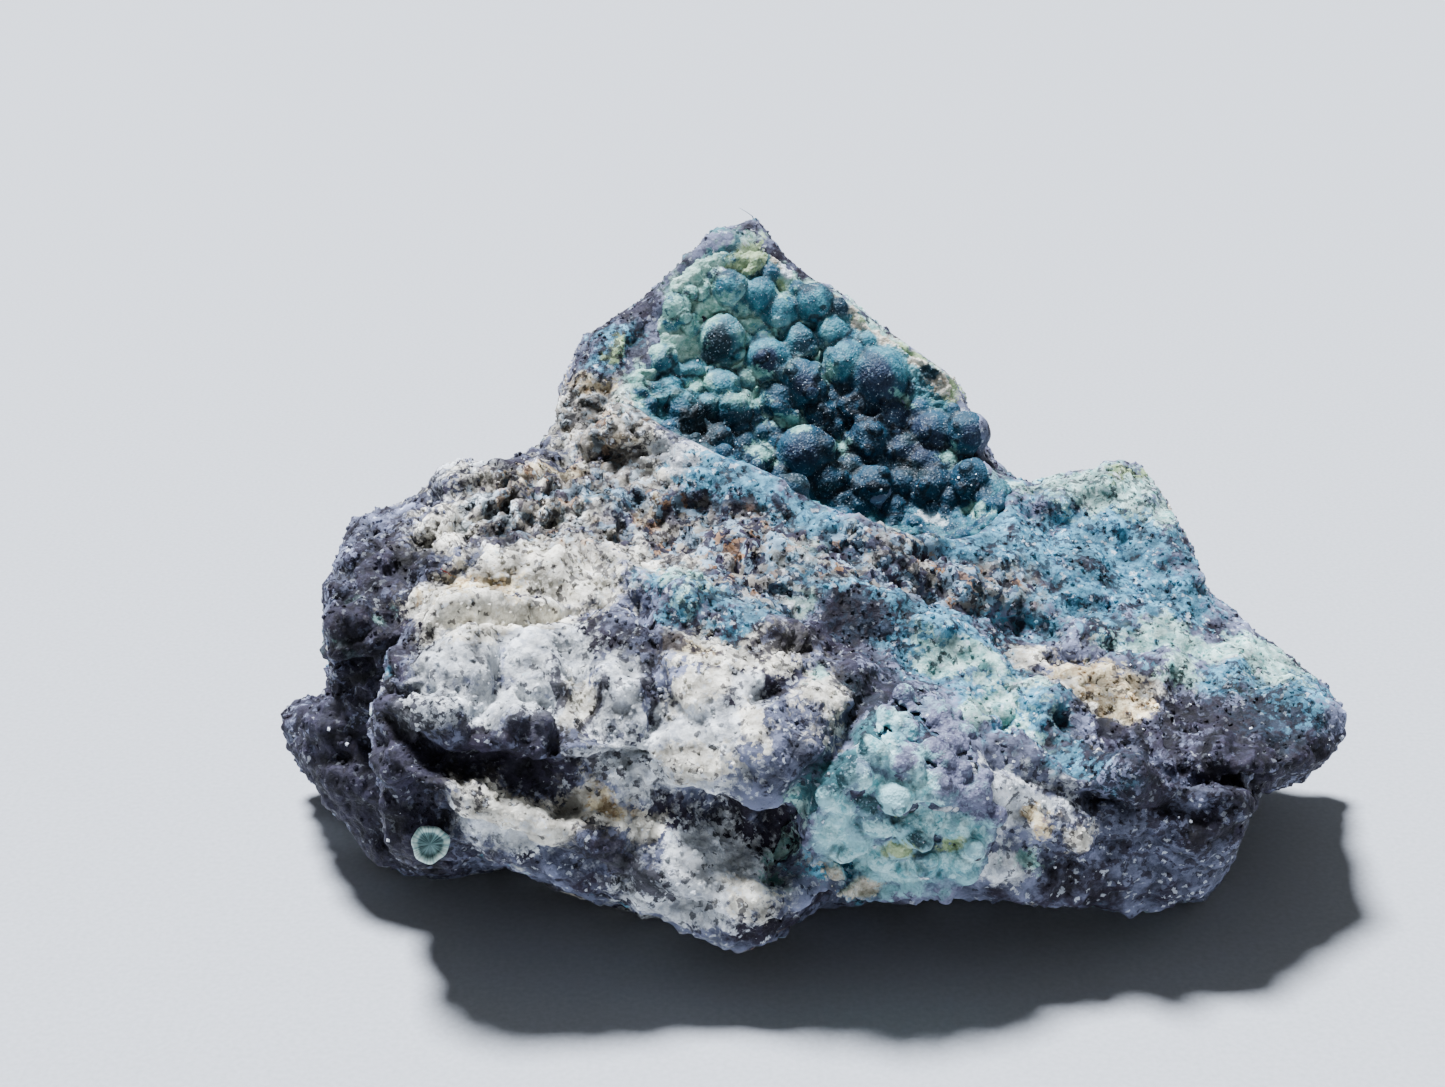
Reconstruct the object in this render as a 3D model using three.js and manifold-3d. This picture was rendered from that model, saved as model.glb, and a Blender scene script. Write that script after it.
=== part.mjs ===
// A wavellite specimen: a broken lump of iron-stained chert with a hollow near its top. The hollow is
// lined with a crust of blue-green wavellite balls, and a paler crust of smaller balls sits low on the
// front. The lump is one stone. Each crust is a piece of its own, and so is one broken ball by itself.
//
// Millimetres, +Z up. The origin is at the middle of the underside, on the surface that the stone rests
// on. The hollow opens towards -Y and upwards, and +X is to the right of someone who looks into it.
import * as THREE from 'three';
import { mergeVertices } from 'three/addons/utils/BufferGeometryUtils.js';
import { ImprovedNoise } from 'three/addons/math/ImprovedNoise.js';
import Module from 'manifold-3d';

const wasm = await Module();
wasm.setup();
const { Manifold } = wasm;
const { clamp, degToRad, smoothstep } = THREE.MathUtils;

// Driving dimensions, in millimetres and degrees.
const REACH = [40, 32, 22]; // half the specimen's width, depth and height, roughly
const HEART = new THREE.Vector3(0, -3, 10); // a point inside the stone that sees all of its surface
const STONE_DETAIL = 14; // how finely the stone's surface is divided
const BLEND = 1.4; // width of the soft joins between the stone's masses
const SEAT_GAP = 0.35; // between the stone and what has grown on it
const BALL_OUT = 0.12; // how far a ball's centre stands off its sheet, as a share of its radius
const LARGE_BALL = 1.45; // radius from which a ball gets more facets
const FACETS = { small: [6, 4], large: [8, 6], broken: [9, 6], oval: [12, 8] }; // round, and pole to pole
const GROUND = 120; // side of the block that cuts the stone's foot flat

// The stone's masses: rounded blocks, each with its centre, half sizes, turns about X, Y and Z in
// degrees, and the radius of its edges.
const MASSES = {
  base: { at: [0, 0, 5], half: [31, 21, 11], turn: [0, 0, 6], round: 5 },
  rear: { at: [3, 15, 8], half: [27, 12, 11], turn: [8, 0, -5], round: 4 },
  heap: { at: [-14, -10, 15.2], half: [15, 12, 8.5], turn: [15, 6, 2], round: 2.6 },
  middle: { at: [0, -11, 13.4], half: [12, 9, 8], turn: [24, 10, -14], round: 3 },
  ridge: { at: [-4, -1.5, 22.3], half: [13, 5.5, 4.6], turn: [0, 18, -25], round: 2 },
  sill: { at: [13, -1, 14.8], half: [12, 10, 6.5], turn: [25, 14, 0], round: 2.4 },
  leftFlank: { at: [-28, -5, 12], half: [8.5, 12, 12], turn: [0, -8, 8], round: 3 },
  leftKnob: { at: [-26, 3, 23.6], half: [4.5, 4, 4], turn: [0, 12, 20], round: 2 },
  leftFoot: { at: [-33, -11, 5], half: [7, 8.5, 5], turn: [0, 6, 14], round: 2.4 },
  brow: { at: [-15.5, -25, 17.8], half: [13, 6, 4.2], turn: [30, 4, -2], round: 1.8 },
  front: { at: [-4.5, -23.5, 13.5], half: [6.5, 6.5, 7], turn: [18, 6, -16], round: 2.4 },
  lip: { at: [-13.5, -24, 8.6], half: [14.5, 8.5, 4], turn: [-2, 15, -8], round: 1.8 },
  shelf: { at: [17.5, -19, 10.2], half: [14.5, 9.6, 5.6], turn: [4, 8, 6], round: 1.6 },
  rightBlock: { at: [25, 4.3, 11.8], half: [9, 9.5, 9], turn: [27, 2, -4], round: 1.6 },
  terrace: { at: [27, -10.5, 11.2], half: [11, 8, 4], turn: [3, 7, -10], round: 1.6 },
  rightFoot: { at: [32, -9, 8.6], half: [9, 8, 4.4], turn: [6, 8, -16], round: 2.8 },
};

// The slab that carries the hollow. Its front face leans back and its back face leans forward: each is
// given by its distance along Y at the foot and by how much that grows with height.
const SLAB = {
  left: -19.5,
  right: 19,
  front: -12.5,
  frontLean: 0.8,
  frontSkew: 0.13,
  back: 28.5,
  backLean: -0.14,
};

// The hollow is a shallow squarish dish in the slab's leaning face, higher at one corner.
const HOLLOW = { at: [0.8, 6.2, 30.9], radii: [18, 13, 8], turn: [51, 6, -45], squareness: 2.8, detail: 4 };

// What is seen from the front is laid out as one eye sees it: places are given across and up, on the
// upright plane Y = 0, and lie on the line from the eye through that place.
const EYE = new THREE.Vector3(-6.7, -146, 79.5);

// The stone's outline.
const OUTLINE = [
  [-5, 46.6], [-3, 45.6], [-1, 42], [3, 40], [7, 36.5], [11, 34], [12, 31], [14, 27.5], [17, 25], [20.5, 26.5],
  [25.5, 27], [28, 23.5], [30.5, 19], [32, 15.5], [35.5, 13.5], [38.6, 11], [42.4, 7.5], [43.6, 3.5], [41, 0],
  [37, -0.5], [36, -7], [34, -11.5], [28, -13.5], [16.5, -11.5], [8, -10.5], [0, -13], [-3, -17.5], [-7, -17],
  [-12, -13.5], [-18.5, -11.5], [-29, -6.5], [-30.5, -10.5], [-36, -7.5], [-41.5, 1.5], [-42.5, 5.5],
  [-38.5, 7], [-38, 15], [-36, 22.5], [-32, 23.5], [-27.5, 27], [-24, 26.5], [-20.5, 28.5], [-18.5, 33.5],
  [-17, 37.5], [-15, 38], [-11.5, 41], [-7, 45.5],
];

// The wavellite balls in the hollow: across, up and radius. Between them lies a thin sheet of crust.
const HOLLOW_SHEET = 0.9;
const HOLLOW_BALLS = [
  [-6.3, 41.2, 1.1], [-3.9, 40.6, 1.2], [-2.4, 39.3, 1.2], [0.2, 40, 1.3], [-6.9, 37.2, 1.5], [-3.3, 35.5, 1.5],
  [-0.9, 36.8, 1.2], [1.5, 37.6, 1.2], [2.7, 35.2, 1.6], [-0.6, 33.6, 1.6], [-6.7, 33.2, 1.2], [5.1, 34.1, 2.1],
  [3.4, 31.8, 1.2], [6.1, 30.9, 1.3], [4.5, 29.1, 1.5], [7.2, 28.3, 1.1], [9.4, 29.7, 1.5], [12.1, 29.7, 1.5],
  [9, 27.3, 1.2], [0.8, 31.2, 1.1], [-0.3, 28, 2], [-5.9, 31.4, 1.2], [-9.8, 31.4, 1.2], [-2.6, 32.3, 1.2],
  [-10.8, 33.2, 0.9], [-4, 27.4, 1], [1.4, 25.8, 1.3], [-7.2, 29, 1.1], [5, 25.3, 1.5], [9.6, 25.4, 1.4],
  [12.6, 25.8, 1.5], [7.4, 25.6, 1], [-10.3, 39.6, 1], [-11.5, 35.6, 1],
];

// The paler balls low on the front, on a sheet that ends in an oval.
const FRONT_SHEET = { thickness: 0.7, at: [5, -27, 13.3], radii: [6.9, 17, 6.8] };
const FRONT_BALLS = [
  [8.4, 4, 1.1], [5.4, 2.2, 1.2], [10.6, 2.2, 1.2], [4.6, -0.2, 1.2], [8.1, 0.6, 1.1], [7.6, -2.2, 1.5],
  [11.6, -1.6, 1.3], [6, -4.4, 1.4], [9.4, -5.2, 1.6], [12.8, -4.8, 1.3], [14.2, -6.8, 1.2], [3.4, -7, 1.3],
  [6.6, -7.8, 1.4], [10.2, -8.4, 1.3],
];

// The broken ball at the left foot: across, up and radius, and the bite that laid its inside bare.
const SPHERULE = { at: [-31, -6.2], radius: 1.6, bite: { away: [0.35, -0.9, 0.5], off: 1.9, radius: 1.35 } };

// Roughness of the broken surface. Beds dip to one side and wander, and each steps back at its edge.
// Lumps of three sizes lie over them.
const BEDS = { dip: [0.32, -0.22, 0.92], step: 5.2, depth: 1.2, edge: 0.82, wander: 2.2, wanderSize: 11 };
const LUMPS = [{ size: 13, height: 1.8 }, { size: 6.5, height: 1.2 }, { size: 3.3, height: 0.6 }];
const LIFT = 0.4; // added to the roughness, so that the masses keep their size
const OUTLINE_SHARE = 0.25; // how much of the roughness the outline keeps
const OUTLINE_INSET = 0.25; // what the outline gives up to that roughness

// The walk in towards the stone: where it starts, how many steps it may take, the share of the distance
// that each step covers, and the distance at which it has arrived.
const WALK = { from: 60, steps: 120, share: 0.3, arrived: 0.002 };

const noise = new ImprovedNoise();

// Turned masses are measured in their own axes, so each keeps the matrix that leads there.
function ownAxes({ at, turn }) {
  const turned = new THREE.Euler(...turn.map(degToRad));
  return new THREE.Matrix4().makeRotationFromEuler(turned).setPosition(...at);
}

const blocks = Object.values(MASSES).map((mass) => ({ ...mass, inward: ownAxes(mass).invert() }));
const bedNormal = new THREE.Vector3(...BEDS.dip).normalize();
const local = new THREE.Vector3();

// Distance from a point to a rounded block, negative inside.
function blockDistance(point, { half, round, inward }) {
  local.copy(point).applyMatrix4(inward);
  const over = [local.x, local.y, local.z].map((v, i) => Math.abs(v) - half[i] + round);
  const outside = Math.hypot(...over.map((v) => Math.max(v, 0)));
  return outside + Math.min(Math.max(...over), 0) - round;
}

function slabDistance({ x, y, z }) {
  const front = SLAB.front + SLAB.frontLean * z + SLAB.frontSkew * x - y;
  const back = y - SLAB.back - SLAB.backLean * z;
  return Math.max(front / Math.hypot(1, SLAB.frontLean), back, SLAB.left - x, x - SLAB.right);
}

// Distance from a point to the outline as the eye sees it, negative inside.
function outlineDistance(point) {
  const share = -EYE.y / (point.y - EYE.y);
  const x = EYE.x + (point.x - EYE.x) * share;
  const z = EYE.z + (point.z - EYE.z) * share;
  let nearest = Infinity;
  let inside = false;
  OUTLINE.forEach(([bx, bz], i) => {
    const [ax, az] = OUTLINE[(i + 1) % OUTLINE.length];
    const [ex, ez, wx, wz] = [ax - bx, az - bz, x - bx, z - bz];
    const along = clamp((wx * ex + wz * ez) / (ex * ex + ez * ez), 0, 1);
    nearest = Math.min(nearest, Math.hypot(wx - ex * along, wz - ez * along));
    if (az > z !== bz > z && x < bx + (ex * (z - bz)) / ez) inside = !inside;
  });
  return (inside ? -nearest : nearest) / share;
}

// Joins two distances with a soft crease.
function softMin(a, b, width) {
  const share = Math.max(width - Math.abs(a - b), 0) / width;
  return Math.min(a, b) - (share * share * width) / 4;
}

// How far the broken surface stands out at a point: ledges along the bedding, lumps and grain.
function relief(point) {
  const { x, y, z } = point;
  const noiseOf = (size) => noise.noise(x / size, y / size, z / size);
  const bed = (point.dot(bedNormal) + BEDS.wander * noiseOf(BEDS.wanderSize)) / BEDS.step;
  const across = bed - Math.floor(bed);
  const ledge = BEDS.depth * (across - smoothstep(across, BEDS.edge, 1));
  return LUMPS.reduce((sum, { size, height }) => sum + height * noiseOf(size), ledge);
}

// Distance from a point to the stone's surface before the hollow is taken out, negative inside.
function stoneDistance(point) {
  let distance = slabDistance(point);
  for (const block of blocks) distance = softMin(distance, blockDistance(point, block), BLEND);
  const rough = relief(point) + LIFT;
  return Math.max(distance - rough, outlineDistance(point) + OUTLINE_INSET - OUTLINE_SHARE * rough);
}

// How far from the heart a line last meets the stone at a level above its surface, found by walking in
// from outside. A higher level lies outside a lower one everywhere, so two of them never cross.
function lastCrossing(direction, level) {
  const point = new THREE.Vector3();
  let reach = WALK.from;
  for (let i = 0; i < WALK.steps; i += 1) {
    const distance = stoneDistance(point.copy(direction).multiplyScalar(reach).add(HEART)) - level;
    if (distance < WALK.arrived) break;
    reach -= WALK.share * distance;
  }
  return reach;
}

// A geometry with its shared points made one, so that its surface is closed.
function joined(geometry) {
  const bare = geometry.clone();
  bare.deleteAttribute('normal');
  bare.deleteAttribute('uv');
  return mergeVertices(bare, 1e-4);
}

function solidOf(geometry) {
  const { attributes, index } = joined(geometry);
  return new Manifold(new wasm.Mesh({
    numProp: 3,
    vertProperties: new Float32Array(attributes.position.array),
    triVerts: new Uint32Array(index.array),
  }));
}

function geometryOf(solid) {
  const { vertProperties, triVerts, numProp } = solid.getMesh();
  if (numProp !== 3) throw new Error('the solid carries more than positions');
  const geometry = new THREE.BufferGeometry();
  geometry.setAttribute('position', new THREE.BufferAttribute(new Float32Array(vertProperties), 3));
  geometry.setIndex(new THREE.BufferAttribute(new Uint32Array(triVerts), 1));
  const flat = geometry.toNonIndexed();
  flat.computeVertexNormals();
  return flat;
}

// A ball whose points are moved one by one: the place function gets each point's direction.
function pulledBall(detail, place) {
  const ball = joined(new THREE.IcosahedronGeometry(1, detail));
  const position = ball.attributes.position;
  const direction = new THREE.Vector3();
  for (let i = 0; i < position.count; i += 1) {
    direction.fromBufferAttribute(position, i).normalize();
    position.setXYZ(i, ...place(direction));
  }
  return solidOf(ball);
}

// The stone before the hollow is taken out, at a level above its surface. Its foot is worn flat.
function blankAt(level) {
  const reach = new THREE.Vector3(...REACH);
  const blank = pulledBall(STONE_DETAIL, (direction) => {
    direction.multiply(reach).normalize();
    return direction.multiplyScalar(lastCrossing(direction, level)).add(HEART);
  });
  const below = new THREE.BoxGeometry(GROUND, GROUND, GROUND).translate(0, 0, -GROUND / 2);
  return blank.subtract(solidOf(below));
}

const hollowOutward = ownAxes(HOLLOW);
// The hollow as a solid of its own. An inset makes it smaller on every side.
function hollowAt(inset) {
  const { radii, squareness, detail } = HOLLOW;
  return pulledBall(detail, (direction) => {
    const shares = direction.toArray().map((v, i) => Math.abs(v / (radii[i] - inset)) ** squareness);
    const reach = shares.reduce((sum, v) => sum + v, 0) ** (-1 / squareness);
    return direction.multiplyScalar(reach).applyMatrix4(hollowOutward);
  });
}

// What the line from the eye through [across, up] on the plane Y = 0 meets on a solid, first to last.
function seenOn(surface, [across, up]) {
  const sight = new THREE.Vector3(across, 0, up).sub(EYE).normalize();
  const hits = new THREE.Raycaster(EYE, sight).intersectObject(surface);
  if (hits.length === 0) throw new Error(`nothing is seen at ${across}, ${up}`);
  return hits.map((hit) => hit.point);
}

function surfaceOf(solid) {
  return new THREE.Mesh(geometryOf(solid), new THREE.MeshBasicMaterial({ side: THREE.DoubleSide }));
}

// A ball that stands out a little in front of the place it grew on. Its radius is given as seen on the
// plane Y = 0, and it is larger by as much as it lies further from the eye. Its facets are turned by
// where it lies, so that no two balls show them alike.
function seatedBall(place, seenRadius, [segments, rings]) {
  const radius = seenRadius * (1 - place.y / EYE.y);
  const ball = new THREE.SphereGeometry(radius, segments, rings).rotateX(place.x).rotateY(place.y);
  return solidOf(ball.translate(place.x, place.y - BALL_OUT * radius, place.z));
}

function facetsFor(radius) {
  return radius < LARGE_BALL ? FACETS.small : FACETS.large;
}

const blank = blankAt(0);
const seat = blankAt(SEAT_GAP);
const stone = blank.subtract(hollowAt(0));

const wall = hollowAt(SEAT_GAP);
const sheetFront = hollowAt(SEAT_GAP + HOLLOW_SHEET);
const sheetSurface = surfaceOf(sheetFront);
const hollowBalls = HOLLOW_BALLS.map(([across, up, radius]) => (
  seatedBall(seenOn(sheetSurface, [across, up]).at(-1), radius, facetsFor(radius))));
const hollowSheet = wall.intersect(blank).subtract(sheetFront);
const hollowCrust = Manifold.union([hollowSheet, ...hollowBalls]).intersect(wall);

const frontFace = blankAt(SEAT_GAP + FRONT_SHEET.thickness);
const frontSurface = surfaceOf(frontFace);
const frontOval = new THREE.SphereGeometry(1, ...FACETS.oval)
  .scale(...FRONT_SHEET.radii)
  .translate(...FRONT_SHEET.at);
const frontBalls = FRONT_BALLS.map(([across, up, radius]) => (
  seatedBall(seenOn(frontSurface, [across, up])[0], radius, facetsFor(radius))));
const frontCrust = Manifold.union([frontFace.intersect(solidOf(frontOval)), ...frontBalls]).subtract(seat);

function brokenBall({ at, radius, bite }) {
  const place = seenOn(surfaceOf(seat), at)[0];
  const bitten = place.clone().add(new THREE.Vector3(...bite.away).setLength(bite.off));
  const whole = seatedBall(place, radius, FACETS.broken);
  return whole.subtract(seatedBall(bitten, bite.radius, FACETS.broken)).subtract(seat);
}

const specimen = new THREE.Group();

function addPiece(name, solid, colour, roughness) {
  const material = new THREE.MeshStandardMaterial({ color: colour, roughness, metalness: 0 });
  const mesh = new THREE.Mesh(geometryOf(solid), material);
  mesh.name = name;
  specimen.add(mesh);
}

addPiece('matrix', stone, '#8f8676', 0.9);
addPiece('wavellite_crust', hollowCrust, '#3f7475', 0.5);
addPiece('front_crust', frontCrust, '#9cc9c0', 0.6);
addPiece('side_spherule', brokenBall(SPHERULE), '#6f9a8c', 0.5);

// The origin goes to the middle of the underside.
const middle = new THREE.Box3().setFromObject(specimen).getCenter(new THREE.Vector3());
specimen.children.forEach((mesh) => mesh.geometry.translate(-middle.x, -middle.y, 0));

export default specimen;
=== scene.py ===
"""A wavellite specimen: the looks of its stone, of the crystal crusts on it and of what lies on them.

Each operator builds one piece around the solids of the frame. Places that were read off the front
view are given in millimetres, across and up, on an upright plane through the specimen. They lie on
the line from the eye through that plane.
"""

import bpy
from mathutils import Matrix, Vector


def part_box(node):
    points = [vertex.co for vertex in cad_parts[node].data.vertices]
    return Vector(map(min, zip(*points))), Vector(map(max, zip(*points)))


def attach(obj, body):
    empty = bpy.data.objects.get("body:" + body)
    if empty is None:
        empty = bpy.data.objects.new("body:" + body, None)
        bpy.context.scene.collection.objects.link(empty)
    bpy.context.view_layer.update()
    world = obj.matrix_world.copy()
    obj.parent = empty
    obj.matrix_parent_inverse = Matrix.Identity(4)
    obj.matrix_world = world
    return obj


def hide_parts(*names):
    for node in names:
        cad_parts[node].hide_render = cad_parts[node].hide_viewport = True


bl_info = {
    "name": "Wavellite specimen",
    "version": (1, 0, 0),
    "blender": (4, 5, 0),
    "location": "View3D > Sidebar > Specimen",
    "description": "Builds a stone with a hollow full of wavellite balls",
    "category": "Mesh",
}

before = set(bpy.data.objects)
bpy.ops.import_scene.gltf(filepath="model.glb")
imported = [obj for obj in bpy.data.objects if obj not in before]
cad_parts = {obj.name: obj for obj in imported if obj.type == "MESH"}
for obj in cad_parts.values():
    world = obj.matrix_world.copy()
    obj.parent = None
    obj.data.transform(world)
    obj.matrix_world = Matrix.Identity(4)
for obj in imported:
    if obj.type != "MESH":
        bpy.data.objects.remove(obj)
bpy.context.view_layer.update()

import math

import bmesh
import bpy
import numpy as np
from mathutils import Euler, Vector, noise
from mathutils.bvhtree import BVHTree

MM = 0.001

# A piece that has more triangles is thinned to this many.
MOST_TRIANGLES = 190000

# The specimen was laid out in millimetres in a frame of its own, which holds the eye and the upright
# plane of the front view. It was then moved, so that its box stands centred on the origin.
LAID_OUT_EYE = Vector((-6.7, -146.0, 79.5))
LAID_OUT_MIDDLE = Vector((0.107, -1.314, 0.0))
EYE = (LAID_OUT_EYE - LAID_OUT_MIDDLE) * MM

# The camera stands at the eye and looks down by this angle. Its lens is in millimetres.
EYE_LOOKS_DOWN = math.radians(22)
LENS = 50.0

# The middle of the hollow's dish, and the tilt of the stone's beds on its left and right sides.
HOLLOW_MIDDLE = Vector((0.7, 7.5, 30.9)) * MM
BEDS_LEFT = Vector((-0.44, -0.3, 0.85)).normalized()
BEDS_RIGHT = Vector((0.36, -0.3, 0.88)).normalized()

# A place high above the specimen. Grains that lie loose are on what faces it.
ABOVE = Vector((0, -0.1, 0.6))

# Where the light comes from, how wide it is, its strength in watts on a square metre, and its colour.
LIGHT_FROM = Vector((-0.08, 0.07, 0.34))
LIGHT_WIDTH = math.radians(13)
LIGHT_STRENGTH = 15.5
LIGHT_COLOUR = "#f1f5ff"

# The room is brighter near the floor than overhead. Its light is down to the overhead strength where
# a direction rises by this share of its length.
ROOM_COLOUR = "#dadee4"
ROOM_LOW_STRENGTH = 3.2
ROOM_HIGH_STRENGTH = 0.28
ROOM_HIGH_FROM = 0.12

# How far the floor reaches from its middle, in metres.
FLOOR_REACH = 3.0

# Points of a frame node that lie closer together than this, in metres, are one point.
SAME_POINT = 1e-7

# Lines of sight, in millimetres: how far past a place that it met a line starts again, how far off its
# own surface a line from a piece or from a crust starts, and how near a crust's sheet lies to the
# underside of a ball.
PAST_PLACE = 0.02
OFF_PIECE = 0.5
OFF_CRUST = 0.05
SHEET_WITHIN = 5

# The stone's forms stand out more than they are listed by this factor. They fade out towards the flat
# foot over this height, in millimetres. The last factor brings a ledge's curve to its listed height.
FORM_STRETCH = 1.3
FOOT_HEIGHT = 1.2
LEDGE_SCALE = 2.3

# Where crusts and stone meet, in millimetres: how far a crust's back is drawn in, how far below its
# face and beyond its back the stone fills, and how near to a crust the stone counts as covered.
BACK_DRAWN_IN = 0.35
FILLED_BELOW_FACE = 0.35
FILLED_BEYOND_BACK = 0.45
COVERED_WITHIN = 0.7

# How far a ball's middle lies behind the place where the eye sees its crust, as a share of its radius:
# for the balls that the solid has, and for those that are set on its sheet. The larger balls of the
# hollow then grow by a factor, so that neighbours touch. Listed balls are made this finely.
IN_SOLID = 0.98
ON_SHEET = 0.1
BALL_GROWTH = 1.14
BALL_DETAIL = 3

# Distances from a ball's surface, in millimetres: up to where a point is the ball's own, how far off a
# strewn ball is looked for, over what the ball's look fades, and how wide the painted shade in a crease
# between two balls is and how far out it goes.
OWN_WITHIN = 0.1
STREWN_WITHIN = 0.4
BALL_FADES = 0.2
CREASE_WIDTH = 0.42
CREASE_WITHIN = 0.3

# Webs of crust: their width and height in millimetres, how much of their pale colour they have, how
# much of a web is lost on a ball, and how much of a ball's look is lost in a web.
WEB_WIDTH = 0.38
WEB_HEIGHT = 0.6
WEB_PALE = 0.9
WEB_LOST_ON_BALL = 0.5
BALL_LOST_IN_WEB = 0.6

# Noise that shifts places before colours are laid on them, so that edges wander: its size and how far
# it shifts, in millimetres, and its seed.
STONE_WANDER = ((4, 1.7, 1), (1.2, 0.7, 3))
CRUST_WANDER = ((1.2, 0.5, 3),)

# Noise for how much of a colour lies where the front view doesn't show a surface: its size in
# millimetres, its strength, and the seed of the first colour.
STONE_DRIFT = ((14, 0.75, 5), (4.5, 0.4, 25))
CRUST_DRIFT = ((4, 0.9, 40),)

# The edges of strewn crystals and of the single ones, in millimetres, from smallest to largest.
CRYSTAL_EDGES = (0.03, 0.075)
GLINT_EDGES = (0.1, 0.2)

# Fibres: their radius and how far the red one lies off the stone, in millimetres, how much of its
# radius a fibre loses towards its end, and how many sides it has.
FIBRE_RADIUS = 0.07
LINT_LIFT = Vector((0, -0.06, 0.06))
FIBRE_NARROWS = 0.7
FIBRE_SIDES = 6

# Fixed seeds for all that is drawn at random, so that each run gives the same specimen.
SEED_GRAINS = 2
SEED_LOTS = 4
SEED_RAYS = 5
SEED_GLINTS = 8
SEED_BALL_TONES = 11
SEED_CRYSTALS = 20

# Sockets of a Mix node for colours: its share, the colour under, the colour over, and its result.
SHARE = 0
UNDER = 6
OVER = 7
MIXED = 2

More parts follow.
